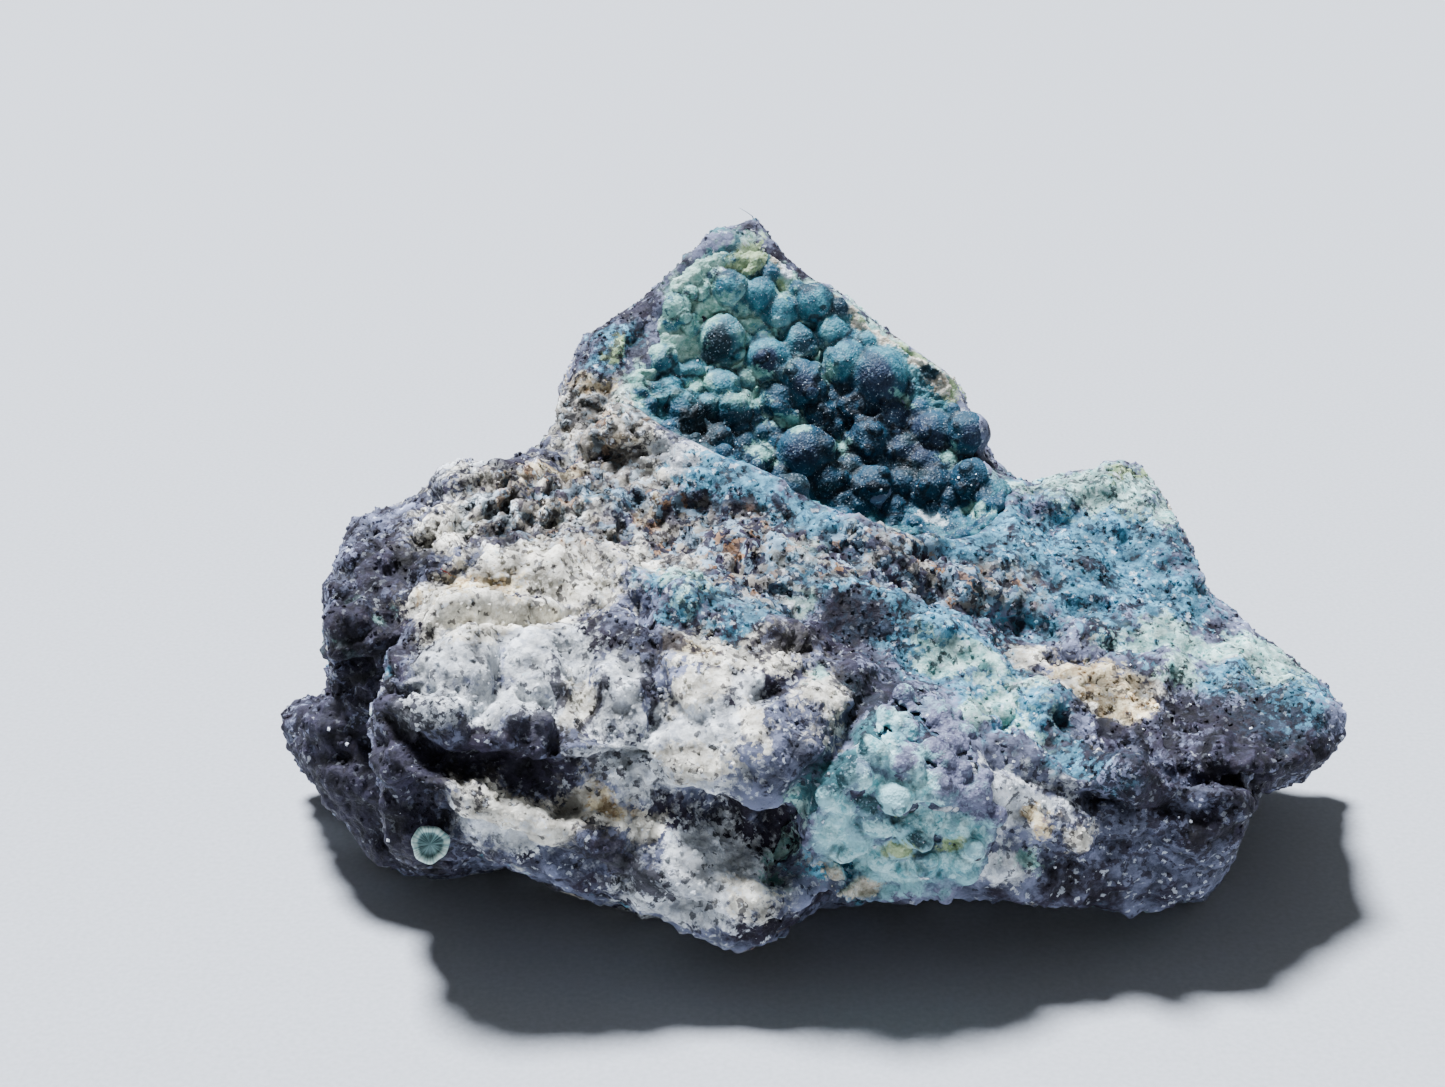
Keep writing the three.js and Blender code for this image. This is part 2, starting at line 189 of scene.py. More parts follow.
# Colours and textures of the stone as they lie in the front view: across, up, half width and half
# height of an oval, and its turn in degrees.
STONE_PATCHES = {
    "cream": [
        (-22.5, 16.5, 8.5, 2.5, 10), (-29, 15, 2.5, 2, 0), (-26.5, 22.5, 4.5, 2, 28),
        (-18.5, 7, 1, 2.5, -6), (-17, -4, 3, 2, 0), (-13.5, -5.5, 1, 1.5, 0), (-5.5, 11.5, 5.5, 2, -4),
        (-8.5, 7.5, 2, 1.5, 0), (-16, 32.5, 3.5, 2, 15), (-16, 30, 4, 2, -5), (-20.5, 19, 5.5, 2, 8),
        (-13, 26.5, 3.5, 1.5, 0), (4.5, 37.5, 4.5, 1, -30), (9.5, 34.5, 2.5, 1, -38),
        (2.5, -9, 2, 1.5, 0), (18, 11, 2, 1, 0), (2, 7, 2, 2, -30), (35, 11, 2, 1, 0),
        (-11.5, 19.5, 3, 2, 0), (-19.5, 23.5, 4, 1.5, 20), (-5, -12, 2, 1.5, 0),
        (24, 8, 4.5, 2, -14), (-24.5, 15.5, 7, 2, 6), (19.5, -4, 0.8, 1, 0), (23, -5.3, 1.2, 1, 0),
        (25, 1.8, 1.3, 0.8, 0), (-25, -2.5, 4, 1.4, -10), (-19.5, -5, 3.5, 1.4, -15),
        (-9, 1.5, 2.5, 1.4, 0), (-17.6, 6.5, 0.8, 2, 0), (-4, 4.5, 1.4, 1.8, 0), (-25, 13, 3, 1.2, 10),
    ],
    "chalk": [
        (-27.5, 11, 4, 3, 20), (-20.5, 11, 4, 3, 0), (-23, 6.5, 7.5, 2.5, -4), (-30.5, 6.5, 2.5, 3, 50),
        (-14.5, 7.5, 2, 4, 0), (-9, 4, 4, 3, 0), (-25, -4, 5, 2.5, -16), (-12, 0.5, 6.5, 2.5, 0),
        (-7, -9, 5, 3.5, -20), (-11, -12, 5, 2.5, -30), (-4.5, 7, 2, 2, 0), (8, -9, 3.5, 2, 0),
        (16.5, -9, 2, 1.5, 0), (16.5, -2.5, 5, 3, 0), (-8.5, 27.5, 4.5, 1.5, -20), (-27, 26.5, 3.5, 1, 20),
        (-25, 23.2, 4, 1.5, 24),
    ],
    "ochre": [
        (24.5, 8.5, 3.5, 2, -24), (21.5, 9.5, 2, 1, 0), (26.5, 6.5, 2, 1, -20), (-14.5, 29, 1.5, 0.5, 10),
        (-16, -3.5, 2, 1.5, 0), (19.5, -4, 1, 1.5, 0), (-12.5, 23.5, 1, 1, 0), (-19.5, 26.5, 3, 1, 18),
        (-26, 16.5, 3.5, 1, 12), (-17, 34, 2.5, 0.5, 14), (-9.5, 12, 2, 1, 0),
    ],
    "turquoise": [
        (23.5, 20.5, 6.5, 5, -20), (16, 19, 5.5, 4.5, 0), (28.5, 15.5, 3.5, 3.5, -30),
        (21, 25, 5.5, 1, -4), (11, 20.5, 4.5, 3, -20), (-0.5, 22, 6.5, 2, -32), (-5.5, 26, 4.5, 1.5, -20),
        (-8.5, 16.5, 4, 2, 0), (-3.5, 15.5, 3, 1.5, 0), (2, 16.5, 3, 1.5, -20), (11, 11.5, 5.5, 3, -34),
        (16, 7, 5, 2.5, -34), (22.5, 1, 4, 1.5, -30), (31.5, 12, 7, 1, -4), (34.5, 9, 3, 2, 0),
        (39, 6.5, 3.5, 3.5, 0), (8, 4.5, 1.5, 3, 20), (3, -9, 3, 2, 0), (-1.5, 19, 3, 1.5, -30),
        (6, 14, 4, 1.5, -30), (20, 15.5, 5, 2.5, 0), (-16, 24, 2, 1, 0), (-8.5, 22.5, 3, 1.5, -20),
        (-15, 36.5, 2, 1.1, 30), (-3.5, 23.8, 4, 1.2, -25),
    ],
    "lichen": [
        (-4.5, 43.8, 1.2, 1.4, 20), (-3, 40, 1, 1, 0), (11, 33, 1, 1, 0), (7, 36.5, 2.5, 0.5, -20),
        (24.5, 25.8, 1.6, 0.6, 0), (7, -5, 2.5, 1.5, 0), (-14.5, 36.5, 1, 0.5, 0), (5.5, -6.5, 1.5, 1, 0),
    ],
    "teal": [
        (4, 2.5, 1.5, 5, -55), (1.5, -1.5, 1.5, 2.5, -40), (5, 7.5, 1.5, 1.5, -40), (-4, 28.5, 4, 1, -20),
        (-6.5, 44.4, 1.4, 0.8, 40),
    ],
    "mint": [
        (-13.5, 33.5, 2.5, 1, 40), (-8.5, 42.5, 3, 1, 35), (-5.5, 44.5, 1.5, 1, 0), (3, 39, 6.5, 1, -33),
        (8.5, 35, 2.5, 1, -38), (22.5, 25, 6, 1.7, -6), (29, 23.5, 1.5, 2, -50), (6.5, 22.5, 4.5, 0.5, -10),
        (-36.5, 15.5, 1, 0.5, 0), (-34.5, 14, 0.5, 0.5, 0), (-37, 12, 1, 0.5, 0), (-36, 10.5, 0.5, 0.5, 0),
        (-33, 15, 0.5, 0.5, 0), (-9.3, 17, 2, 1.6, 0), (-0.6, 19, 1.4, 0.8, 0), (-0.2, 16.5, 1.4, 0.7, -20),
        (10.4, 10.9, 1, 0.8, 0), (12.8, 9.7, 1, 0.8, 0), (14, 5.6, 1, 1, 0), (15.6, 7.2, 1.4, 0.9, 20),
        (18, 7.9, 1.2, 0.7, 0), (17, 5.6, 1.3, 0.8, 0), (-1.5, -7, 1.5, 1, 0), (0, -3, 1, 1.4, 0),
        (1.5, 8.5, 1.2, 1, 0), (18.5, -8, 1.4, 0.9, 0), (-3, -9.5, 1.2, 0.7, 0), (32, 12, 7, 1.1, -6),
        (37.5, 10, 3, 2.4, -30), (30, 9, 1.8, 1.1, 0), (12.5, 10, 4, 1.1, -34), (17.5, 5.5, 3, 0.9, -34),
    ],
    "pepper": [
        (24, 15.5, 6.5, 2.5, 0), (20, 19, 4.5, 2.5, 0), (25, 22.5, 4, 2, 0), (9, 18, 4.5, 1.5, -14),
        (-10, 22.5, 7, 3.5, -10), (-13, 19, 4.5, 2.5, 0), (-19.5, 22.5, 5.5, 3, 20), (-34, 16.5, 3.5, 5, 0),
        (34.5, 5, 6.5, 2.5, -20), (-8.5, 15.5, 5.5, 2.5, 0), (13, 17, 6, 3, -10),
        (23, 24.5, 6, 2, 0), (3.5, 15.5, 5, 2, -20), (-26.5, 24, 4.5, 2, 24),
        (-16, 30.5, 4, 3, 0), (-15, 36.5, 3, 2, 0), (27, -5, 9, 4, 0),
    ],
    # Umber is dark iron stain, and also painted shade: its narrow ovals along grooves and its large ones on
    # the left foot stand in for shadow.
    "umber_and_shade": [
        (-36.5, 0, 6.5, 7.5, 0), (-38.5, 5, 3, 2.5, 0), (-23.5, 1, 9, 1, -2), (-33, 0.5, 3.5, 3, -20),
        (28, 3.5, 8, 1, -24), (35.5, 4.5, 6.5, 3, -10), (40.5, 2.5, 3.5, 2.5, 0), (-4.5, 21.5, 1.2, 0.9, 40),
        (-10, 21.2, 1, 0.8, -30), (-6, 17.8, 1, 0.8, 0), (9.5, 18.5, 2, 0.8, -14), (-3.4, 18.7, 0.8, 0.8, 0),
        (-12, 24.8, 0.8, 0.8, 0), (2.6, 18.3, 1.8, 1, 0), (-8.5, 22.5, 0.8, 0.6, 0), (3.5, 14, 3, 1.6, -20),
        (-34.5, 12, 3, 1, 0), (-37, 14, 2, 4, 0), (-33, 12.5, 1.5, 3, 0), (-37, -1, 8, 9, 0),
        (-36, 10, 2, 5, 0), (-13, 39.5, 3, 0.8, 42), (27, -1, 5, 1.5, -30),
        (10, 18.5, 1.5, 0.7, -20), (-24, 0.5, 8, 1.8, -4), (-35.5, 7.5, 3.5, 1, -4),
        (-29.5, 26, 1, 1, 0), (-33.5, 19, 3.5, 2.5, 30), (37, -2.5, 2.5, 4, 0), (-20, 8, 0.6, 2, 0),
        (-12.3, 9, 0.7, 3.5, 0), (-5, 23.5, 2, 0.8, -20), (-1.5, 20.8, 1.5, 0.8, -20),
        (13.5, 17.6, 1.2, 0.6, 0), (16.2, 16, 1.5, 0.7, -20), (19.5, 16.6, 1.2, 0.6, 0),
        (12, 15, 1.5, 0.6, -20), (22.5, 18.2, 1, 0.5, 0), (15, 20.2, 1, 0.5, 20), (26, 15.4, 1.2, 0.5, 0),
        (-9.5, 22.5, 1.6, 1, -20), (-6.5, 20, 1.6, 1.2, 0), (-4.2, 18.8, 1.4, 1, 0),
        (-11.5, 20.3, 1.2, 0.8, 0), (-7.5, 24.3, 1.5, 0.7, -20), (-3, 21.6, 1.6, 0.8, -20),
        (-1.8, 23.6, 1, 0.6, -20),
        (6, 7.5, 4.5, 2.5, -34), (9, 34.5, 0.5, 0.5, -20), (-24, 21, 3, 1, 24),
        (-19.5, 24.5, 2.5, 0.5, 20), (-11.5, 12, 3, 1, 0), (-0.5, 12, 3, 1.5, 0), (-21, 3.5, 2.5, 1.5, 0),
        (-16.5, 6, 0.5, 2.5, -30), (34.5, -5, 3, 1.5, 0), (-14, -9.5, 5, 1.5, -28),
        (-38, -4, 5, 5, 0), (-34, -7, 5, 3, 0), (36, 1, 5, 2, 0),
    ],
    "bare": [
        (-15, 36.5, 3.5, 1.5, 24), (-36.5, -1.5, 6.5, 6.5, 0), (29, -5, 7.5, 4, 0), (13, 0.5, 4, 3, 0),
        (-0.5, 3, 4, 4.5, 0), (39.5, 2.5, 4, 3, 0), (-17, -7, 9, 3.5, -24), (11.5, -1.5, 6, 4, 0),
        (31.5, -7, 7.5, 3.5, 0), (34, -3, 5, 4, 0), (-33, -6, 6, 4, 0), (-36, 12, 3.5, 5, 0),
        (-30, 20, 3, 2, 30), (-4, 22, 4, 1.6, -20), (-10, 20.5, 4, 2.5, -10),
    ],
    "gravel": [
        (-13, 24, 4.7, 2.5, -15), (-8.5, 21, 4.7, 3, -20), (-3.7, 19, 4, 3.4, -20), (-14.5, 26.6, 4, 2, -20),
        (-22.5, 24, 4.7, 2, 15), (-18, 21, 4, 1.7, 0),
        (3.3, 19, 3, 2, 0), (7.3, 19, 4, 2.4, -10), (-16, 31, 3.5, 3, 0), (14, 16.8, 4.5, 2, -10),
    ],
    "bedded": [
        (-28, 21.5, 8, 5, 28), (-16, 31.5, 4, 3.5, 12), (-21, 24, 6, 3.5, 24), (-35, 8.5, 5, 3.5, 0),
        (27.5, 5, 10, 4.5, -24),
    ],
}

# How much of each colour lies where the front view doesn't show the stone: its sides and its back
# are mostly bare stone and iron stain. Crusts have the same little of each there, and none of some.
ELSEWHERE = {
    "cream": 0.08,
    "chalk": 0.14,
    "ochre": 0.0,
    "turquoise": 0.12,
    "lichen": -0.3,
    "teal": -0.3,
    "mint": -0.1,
    "pepper": 0.15,
    "umber_and_shade": 0.2,
    "bare": 0.25,
    "gravel": 0.1,
    "bedded": 0.2,
}
CRUST_ELSEWHERE = 0.15
CRUST_FRONT_ONLY = ("white", "cream", "lichen")

# Lines in the stone's surface: points, width and depth or height. A groove is sunk. A ledge stands
# up on the upper side of its line and falls back below it.
STONE_LINES = {
    "groove": [
        ([(-33, 3.5), (-30, 1), (-25, 0), (-19, 0), (-12.5, 1)], 1.3, 1.8),
        ([(-32, 11.5), (-30, 13), (-27, 14), (-22, 14.5), (-16, 16)], 0.8, 1.0),
        ([(-38, 10), (-35, 9.5), (-31.5, 9.5)], 0.6, 0.7),
        ([(-39, 7.5), (-35, 7.5), (-30.5, 8)], 0.7, 1.0),
        ([(-19.5, 12), (-18, 8.5), (-17.5, 5), (-13.5, 2.5)], 1.0, 1.1),
        ([(-24.5, 12), (-24.5, 7.5), (-27, 5.5)], 0.9, 0.8),
        ([(-21, 7), (-20, 4.5), (-20.5, 2.5)], 0.7, 0.9),
        ([(-13, 15.5), (-12, 10.5), (-12.5, 3.5)], 0.9, 0.6),
        ([(6.5, 6.5), (4, 3), (1.5, -1), (-0.5, -4.5)], 1.7, 1.8),
        ([(19, 11), (25, 12), (32, 11.5)], 0.6, 0.8),
        ([(21, 5), (25, 2), (30, 0), (37, -0.5)], 0.9, 1.4),
        ([(22.5, 7), (26.5, 5), (31.5, 3)], 0.6, 0.6),
        ([(-3, -5), (-1.5, -7), (-2.5, -9.5)], 1.1, 1.3),
        ([(8, 3), (12, 3), (16.5, 4)], 0.6, 0.7),
        ([(-12, 22.5), (-9.5, 20.5), (-5.5, 19)], 0.8, 0.8),
        ([(-30.5, 20.5), (-25.5, 23), (-21, 25), (-16, 26.5)], 0.5, 0.5),
        ([(-33.5, 18), (-29, 20), (-24, 22), (-19.5, 22.5)], 0.5, 0.5),
        ([(-32, 23.5), (-28, 24.5), (-23, 26)], 0.5, 0.5),
        ([(-18.5, 32.5), (-16, 33.5), (-12, 34)], 0.5, 0.6),
        ([(-19.5, 30), (-16, 31), (-12, 31.5)], 0.5, 0.6),
        ([(-19, 27.5), (-15.5, 28), (-11.5, 28.5)], 0.5, 0.5),
        ([(-12, -1.5), (-8.5, -2.5), (-6, -5)], 0.8, 0.7),
        ([(15.5, 12), (18, 7), (16.5, 5)], 0.7, 0.6),
    ],
    "ledge": [
        ([(-3.5, 19), (3.5, 15), (11.5, 10.5), (19, 5.5), (25.5, -1.5)], 1.6, 0.9),
        ([(4, 21), (7.5, 18), (14.5, 15.5), (22.5, 12)], 1.2, 0.6),
        ([(-30, -1.5), (-23.5, -5), (-15.5, -9), (-8.5, -12)], 1.6, 0.7),
        ([(8, 2.5), (15, 3), (23, -1.5), (33, -2.5)], 1.4, 0.7),
        ([(-16.5, 19), (-12.5, 15.5), (-7, 14), (-1.5, 12)], 1.2, 0.6),
    ],
}

# Knobs and pits of the stone's surface: across, up, radius, and height or depth.
LUMPS = [
    (-27, 11, 2.4, 1.0), (-21, 10.5, 2, 0.9), (-16.5, 8.5, 2, 0.8), (-29.5, 6, 1.8, 0.9),
    (-24, 5, 1.4, 0.8), (-21, 5, 1, 0.6), (-14, 7, 2.2, 0.8), (-8.5, 7, 2.8, 0.8), (-5, 2.5, 2.4, 0.7),
    (-10, 2, 2.2, 0.8), (-15, 2.5, 1.4, 0.6), (-27, -3, 2.2, 0.7), (-22, -5.5, 2.2, 0.6),
    (-17, -4.5, 2.4, 0.8), (-12, -5, 2, 0.6), (-8.5, -8, 2, 0.6), (-5, -12.5, 2, 0.6),
    (-12.5, -11.5, 1.8, 0.5), (29, 10, 1.6, 0.9), (25.5, 7.5, 2.4, 0.5), (8, 5, 1.6, 1.0),
    (5.5, 0, 1.6, 0.9), (7.5, -7, 2, 0.8), (15.5, -8, 2.2, 0.9), (11.5, -9, 1.6, 0.7),
    (19.5, -4.5, 1.2, 0.7), (22.5, -6, 1.2, 0.7), (27, -2.5, 2.4, 0.7), (32.5, -6, 2.4, 0.6),
    (35.5, -2.5, 1.6, 0.6), (12.5, 7, 2.2, 0.6), (10, 12, 2, 0.5), (1, 6.5, 1.8, 0.7),
    (-1.5, 10.5, 1.6, 0.6), (-16, 23.5, 1.4, 0.9), (-18, 25, 1, 0.7), (-13, 24.5, 1, 0.7),
    (-11.5, 23.5, 1.2, 0.8), (-8.5, 21.5, 1, 0.7), (-5.5, 21, 1, 0.7), (-3, 18.5, 1.2, 0.7),
    (-9.5, 16.5, 1.8, 0.6), (-6, 16.5, 1.4, 0.6), (-19.5, 19, 1.8, 0.6), (-24.5, 17.5, 1.8, 0.6),
    (-29, 15.5, 2, 0.8), (-29.5, 19, 1.2, 0.5), (-36.5, 14, 1, 0.6), (-35, 15, 0.8, 0.6),
    (-37, 11.5, 1, 0.5), (-35, 11.5, 0.8, 0.5), (-37, 16.5, 1, 0.5), (-31, 22.5, 1.2, 0.6),
    (-27, 26, 1.6, 0.6), (-24.5, 27.5, 1, 0.5), (-38.5, 4, 1.6, 0.8), (-37.5, -0.5, 1.8, 0.7),
    (-33.5, -3.5, 1.4, 0.7), (-35, -7, 1.2, 0.6), (-40.5, 5, 1.4, 0.5), (39.5, 7, 1.6, 0.7),
    (37, 3, 1.4, 0.6), (33.5, 2.5, 1.2, 0.7), (41.5, 3, 1.4, 0.5), (28, 3.5, 1.2, 0.5),
    (35, 9.5, 1.6, 0.6), (19.5, 24, 1.4, 0.6), (23.5, 26, 1.4, 0.7), (26, 24, 1, 0.5),
    (27.5, 19, 1.6, 0.5), (22, 19, 1.4, 0.5), (16, 21.5, 1.2, 0.5), (12, 21.5, 1, 0.5),
    (29.5, 15, 1.2, 0.5), (7.5, 15.5, 1.2, 0.5), (4, 18.5, 1.2, 0.5), (1, 19, 1, 0.5),
    (-15, 36.5, 1.8, 0.5), (-13, 38, 1.2, 0.6), (-17.5, 32.5, 1, 0.5), (-14.5, 30.5, 1.2, 0.6),
    (-17, 29, 1, 0.5), (-13, 28.5, 1, 0.6),
]
PITS = [
    (19.5, 22, 0.8, 0.8), (17.5, 23, 0.6, 0.6), (9, 19, 0.8, 0.9), (7.5, 20, 0.6, 0.7),
    (10.5, 16.5, 0.8, 0.7), (15.5, 16.5, 0.8, 0.6), (21.5, 15, 1, 0.7), (25, 21, 0.8, 0.7),
    (24, 15.5, 0.8, 0.6), (-5.5, 22.5, 1, 0.3), (-4, 19.5, 1, 0.5),
    (-11, 20.5, 0.8, 0.7), (-14.5, 21.5, 0.8, 0.6), (-18, 23, 0.6, 0.7), (-20.5, 24, 0.6, 0.5),
    (-13, 15.5, 0.8, 0.5), (-19.5, 15.5, 0.6, 0.5), (-0.5, 15.5, 1, 0.6), (2.5, 12, 1.2, 0.6),
    (-12.5, 12, 0.8, 0.6), (-8.5, 12, 1, 0.5), (-3.5, 7.5, 1, 0.6), (-0.5, 5, 1.2, 0.7), (-12, 5, 1, 0.7),
    (-28, 7.5, 1, 0.6), (-22.5, 7.5, 0.8, 0.7), (-7, -3.5, 1.4, 0.8), (-9.5, -1.5, 0.8, 0.6),
    (-13.5, -8, 1, 0.5), (-20, -2.5, 1, 0.5), (-36, 10.5, 0.8, 0.6), (-33, 14, 0.8, 0.6),
    (-36.5, 15.5, 0.6, 0.5), (-33.5, 21, 0.6, 0.5), (-32, 17.5, 0.8, 0.5), (9, 34.5, 0.6, 1.0),
    (32, 7, 0.8, 0.6), (30.5, 7.5, 0.6, 0.5), (36, 7, 0.8, 0.5), (27.5, 2.5, 1, 0.7),
    (34.5, -0.5, 1, 0.6), (16, 1.5, 1, 0.5), (25, -6, 1, 0.6), (20, -8, 1, 0.5), (30, -8, 1, 0.5),
    (4.5, -4.5, 1, 0.8), (9.5, -3.5, 0.8, 0.6), (2.5, -7, 1, 0.7), (-35.5, 3, 1, 0.6),
    (-38, 1.5, 0.8, 0.5), (-32.5, -1.5, 1, 0.7),
]

# Single bright crystals: across and up.
GLINTS = [
    (-19.8, 28.6), (-15.2, 29), (-28.4, 18), (-29.6, 17.6), (-21, 22), (-14, 23), (-14, 22.6),
    (-15.2, 14.2), (-8.2, 11), (-4.2, 15.6), (1.8, 10), (8, 8.8), (8.4, 9.2), (-6.8, 1.8), (-21.4, -5),
    (-13.4, -5.2), (-5.8, -9.4), (-1, -11.4), (-18.2, -11), (-8.4, 29), (-8.6, 35.4), (-1, 31.4),
    (-15.6, 33), (-10.8, 30.4), (-0.6, -4), (1.6, -4.4), (-14.2, 5.6), (-15, 5.2), (-4.8, 6.2),
    (27.6, 4.2), (17.2, 1.2), (23.2, 0.4), (22.8, -7.2), (21.2, -8.8), (31.2, -4), (32.2, -4.4),
    (15.2, -2.2), (6, -6.8), (23.6, 3.4), (36.4, 4.2), (33.2, 1.8), (36.4, 7.8), (11.6, 26), (12.6, 25.4),
    (5.6, 25), (8.8, 22), (9.4, 22.4), (-13.4, 35.4), (-37.4, 2.8), (-38.8, 4.2), (-34.6, -6.2),
    (-34, -11.2), (18.6, 5.6), (10, 5.4), (9, 6.6), (31.2, 6.4), (-11.8, 7.8), (-1.8, 22.4), (-4.6, 23),
]

# The larger balls in the hollow, and the smaller ones between them: across, up and radius.
BALLS = [
    (-6.3, 41.2, 1.1), (-3.9, 40.6, 1.2), (-2.4, 39.3, 1.2), (0.2, 40, 1.3), (-6.9, 37.2, 1.5),
    (-3.3, 35.5, 1.5), (-0.9, 36.8, 1.2), (1.5, 37.6, 1.2), (2.7, 35.2, 1.6), (-0.6, 33.6, 1.6),
    (-6.7, 33.2, 1.2), (5.1, 34.1, 2.1), (3.4, 31.8, 1.2), (6.1, 30.9, 1.3), (4.5, 29.1, 1.5),
    (7.2, 28.3, 1.1), (9.4, 29.7, 1.5), (12.1, 29.7, 1.5), (9, 27.3, 1.2), (0.8, 31.2, 1.1),
    (-0.3, 28, 2), (-5.9, 31.4, 1.2), (-9.8, 31.4, 1.2), (-2.6, 32.3, 1.2), (-10.8, 33.2, 0.9),
    (-4, 27.4, 1), (1.4, 25.8, 1.3), (-7.2, 29, 1.1), (5, 25.3, 1.5), (9.6, 25.4, 1.4), (12.6, 25.8, 1.5),
    (7.4, 25.6, 1), (-10.3, 39.6, 1), (-11.5, 35.6, 1),
]
MORE_BALLS = [
    (5.4, 26.8, 0.9), (-11.8, 33.2, 0.6), (-10.2, 34.6, 0.7), (-4.9, 28.9, 0.8), (-8.3, 30.2, 0.7),
    (8.6, 24.4, 0.9), (1.8, 30.1, 0.8), (-5.2, 39.6, 0.7), (-9.2, 38.2, 0.8), (-1.1, 41, 0.6),
    (-5, 34, 0.7), (-1.9, 37.9, 0.6), (1.2, 28.6, 0.9), (3.2, 26.9, 1), (-8, 32, 0.8), (-5.4, 30.2, 0.7),
    (-2.6, 30, 0.7), (6.9, 26.9, 0.8), (10.8, 27.4, 0.9), (14, 26.8, 0.8), (2, 39.6, 0.7), (-3.2, 42.2, 0.6),
    (4, 23.9, 0.9), (2.6, 24.3, 0.9), (6.6, 23.6, 0.9), (-13, 33.6, 0.5), (-8.4, 40.8, 0.6),
    (-7.4, 42, 0.5), (4.2, 36.9, 0.7), (-9.6, 29.9, 0.7), (-2.3, 26.2, 0.9), (-0.2, 25, 0.9),
    (10.9, 24.3, 0.9), (13.6, 24.4, 0.8), (0.6, 33.3, 0.7), (-3.6, 37.2, 0.7), (2.6, 33.1, 0.8),
    (8.3, 31.5, 0.8), (-6, 27.6, 0.8), (7.2, 33.2, 0.6), (-8.9, 34.9, 0.7), (-4.8, 36.9, 0.6),
]
FRONT_BALLS = [
    (8.4, 4, 1.1), (5.4, 2.2, 1.2), (10.6, 2.2, 1.2), (4.6, -0.2, 1.2), (8.1, 0.6, 1.1), (7.6, -2.2, 1.5),
    (11.6, -1.6, 1.3), (6, -4.4, 1.4), (9.4, -5.2, 1.6), (12.8, -4.8, 1.3), (14.2, -6.8, 1.2),
    (3.4, -7, 1.3), (6.6, -7.8, 1.4), (10.2, -8.4, 1.3),
]

# Colours of the hollow's crust and of the crust low on the front, as ovals like the stone's.
HOLLOW_TINTS = {
    "mint": [
        (-9, 41.5, 3, 2, 30), (-5, 38.8, 0.9, 1.8, 0), (-13.5, 34, 1.6, 1.6, 40), (-8.5, 38.5, 4, 1.5, 40),
        (-5.3, 36.7, 0.7, 1.8, 0), (-4.2, 34.3, 2, 0.8, 10), (-10, 39.5, 2.4, 1.6, 30),
        (-9.6, 36.6, 2, 1.2, 0), (-8.4, 33.5, 1.6, 0.7, 0), (-2, 41, 0.8, 1.4, 0), (-2.8, 37.8, 1.2, 0.7, 0),
        (-5, 32.5, 2.5, 0.8, -10), (-1.5, 30.5, 2, 0.8, -20), (-3.5, 28, 2, 0.8, -30),
        (1.5, 34.5, 0.8, 1.2, 0), (2.5, 28.5, 0.8, 0.8, 0), (6, 21, 2.5, 0.5, -20), (13.5, 23.5, 1, 0.6, 0),
        (11, 28, 1, 1, -30), (7, 32.5, 1.5, 0.5, -30), (-12, 36.4, 1.6, 1, 40),
    ],
    "lichen": [
        (-4.7, 43.6, 1.3, 1.3, 0), (-5.5, 42.4, 1.2, 0.7, 30),
        (11.2, 32.8, 1.2, 0.9, -30), (3.7, 38.8, 0.8, 0.6, 0), (-2.6, 40.6, 1, 1.2, 0),
    ],
    "cream": [
        (2.2, 39.9, 1.6, 0.6, -30), (5, 37.6, 2.2, 0.6, -28), (10, 34, 1.5, 1, -40),
        (-2, 43.5, 1, 1, -40), (12, 31.5, 1, 1, -40), (8.2, 35.6, 1.2, 0.6, -30),
    ],
    "sea": [
        (-6, 37.5, 6, 4, 30), (-8, 33.5, 4, 2, -10), (5.5, 36.8, 2.5, 1.2, -20), (7, 35, 1.5, 1, -30),
        (-3.6, 40.3, 1.8, 1.4, 0), (2.5, 35.5, 1.4, 1.4, 0),
        (0.2, 40, 1.4, 1.2, 0), (1.5, 30.5, 1.5, 1, 0), (-9.5, 34.5, 2, 1.2, 0), (-5.4, 32.6, 2, 1, 0),
        (-9.8, 39.8, 1.2, 1, 0), (9.5, 22.9, 1.6, 0.6, 0), (1.5, 38, 1.4, 1.2, 0), (-7, 35.5, 1.4, 1, 0),
        (-10.8, 33, 1.6, 1, 0), (-6.4, 41.2, 1.2, 1, 0),
    ],
    "dusk": [
        (5, 34, 1.5, 1.5, 0), (6, 31, 1.5, 1.5, 0), (3.5, 32, 1, 1, 0), (4.5, 29, 1.5, 1.5, 0),
        (-0.5, 28, 1.5, 1.5, 0), (-0.5, 33.5, 1, 1, 0), (9.5, 29, 1.5, 1, 0), (12.5, 29.5, 1, 1, 0),
        (7, 28.5, 1, 1, 0), (-3.5, 35.5, 1, 1, 0), (-9.5, 40, 1, 1, 0), (6.5, 30, 5, 2.5, -38),
    ],
    "deep": [
        (-7, 36.8, 1.2, 1.6, -20), (-8.5, 30, 2, 1.5, -30), (7.5, 27, 1, 0.5, 0),
        (1.5, 25, 1.5, 0.5, 0), (-8.6, 31.4, 1.2, 0.8, 0), (5.5, 21.5, 2, 0.5, -20),
        (-1, 26, 1.5, 0.5, -30), (3, 27, 1, 0.5, 0), (9, 34.5, 0.8, 0.6, -20), (7.6, 29.2, 0.6, 0.6, 0),
        (3.2, 28.2, 0.8, 0.5, 0), (8.4, 26.4, 1.2, 0.4, 0),
    ],
    "blue": [
        (-4.5, 26.5, 4.5, 1.5, -24), (5.5, 25, 2.5, 1.5, 0), (11.5, 25.5, 2.5, 1.5, 0),
        (9, 25.5, 1.5, 1, 0), (1, 26.5, 1.5, 1, 0), (8, 24.5, 6, 2, -12), (3, 30, 4, 3, -30),
    ],
    "white": [
        (9.5, 22.6, 1.2, 0.5, 0), (-2, 42.5, 0.5, 0.5, 0),
    ],
}
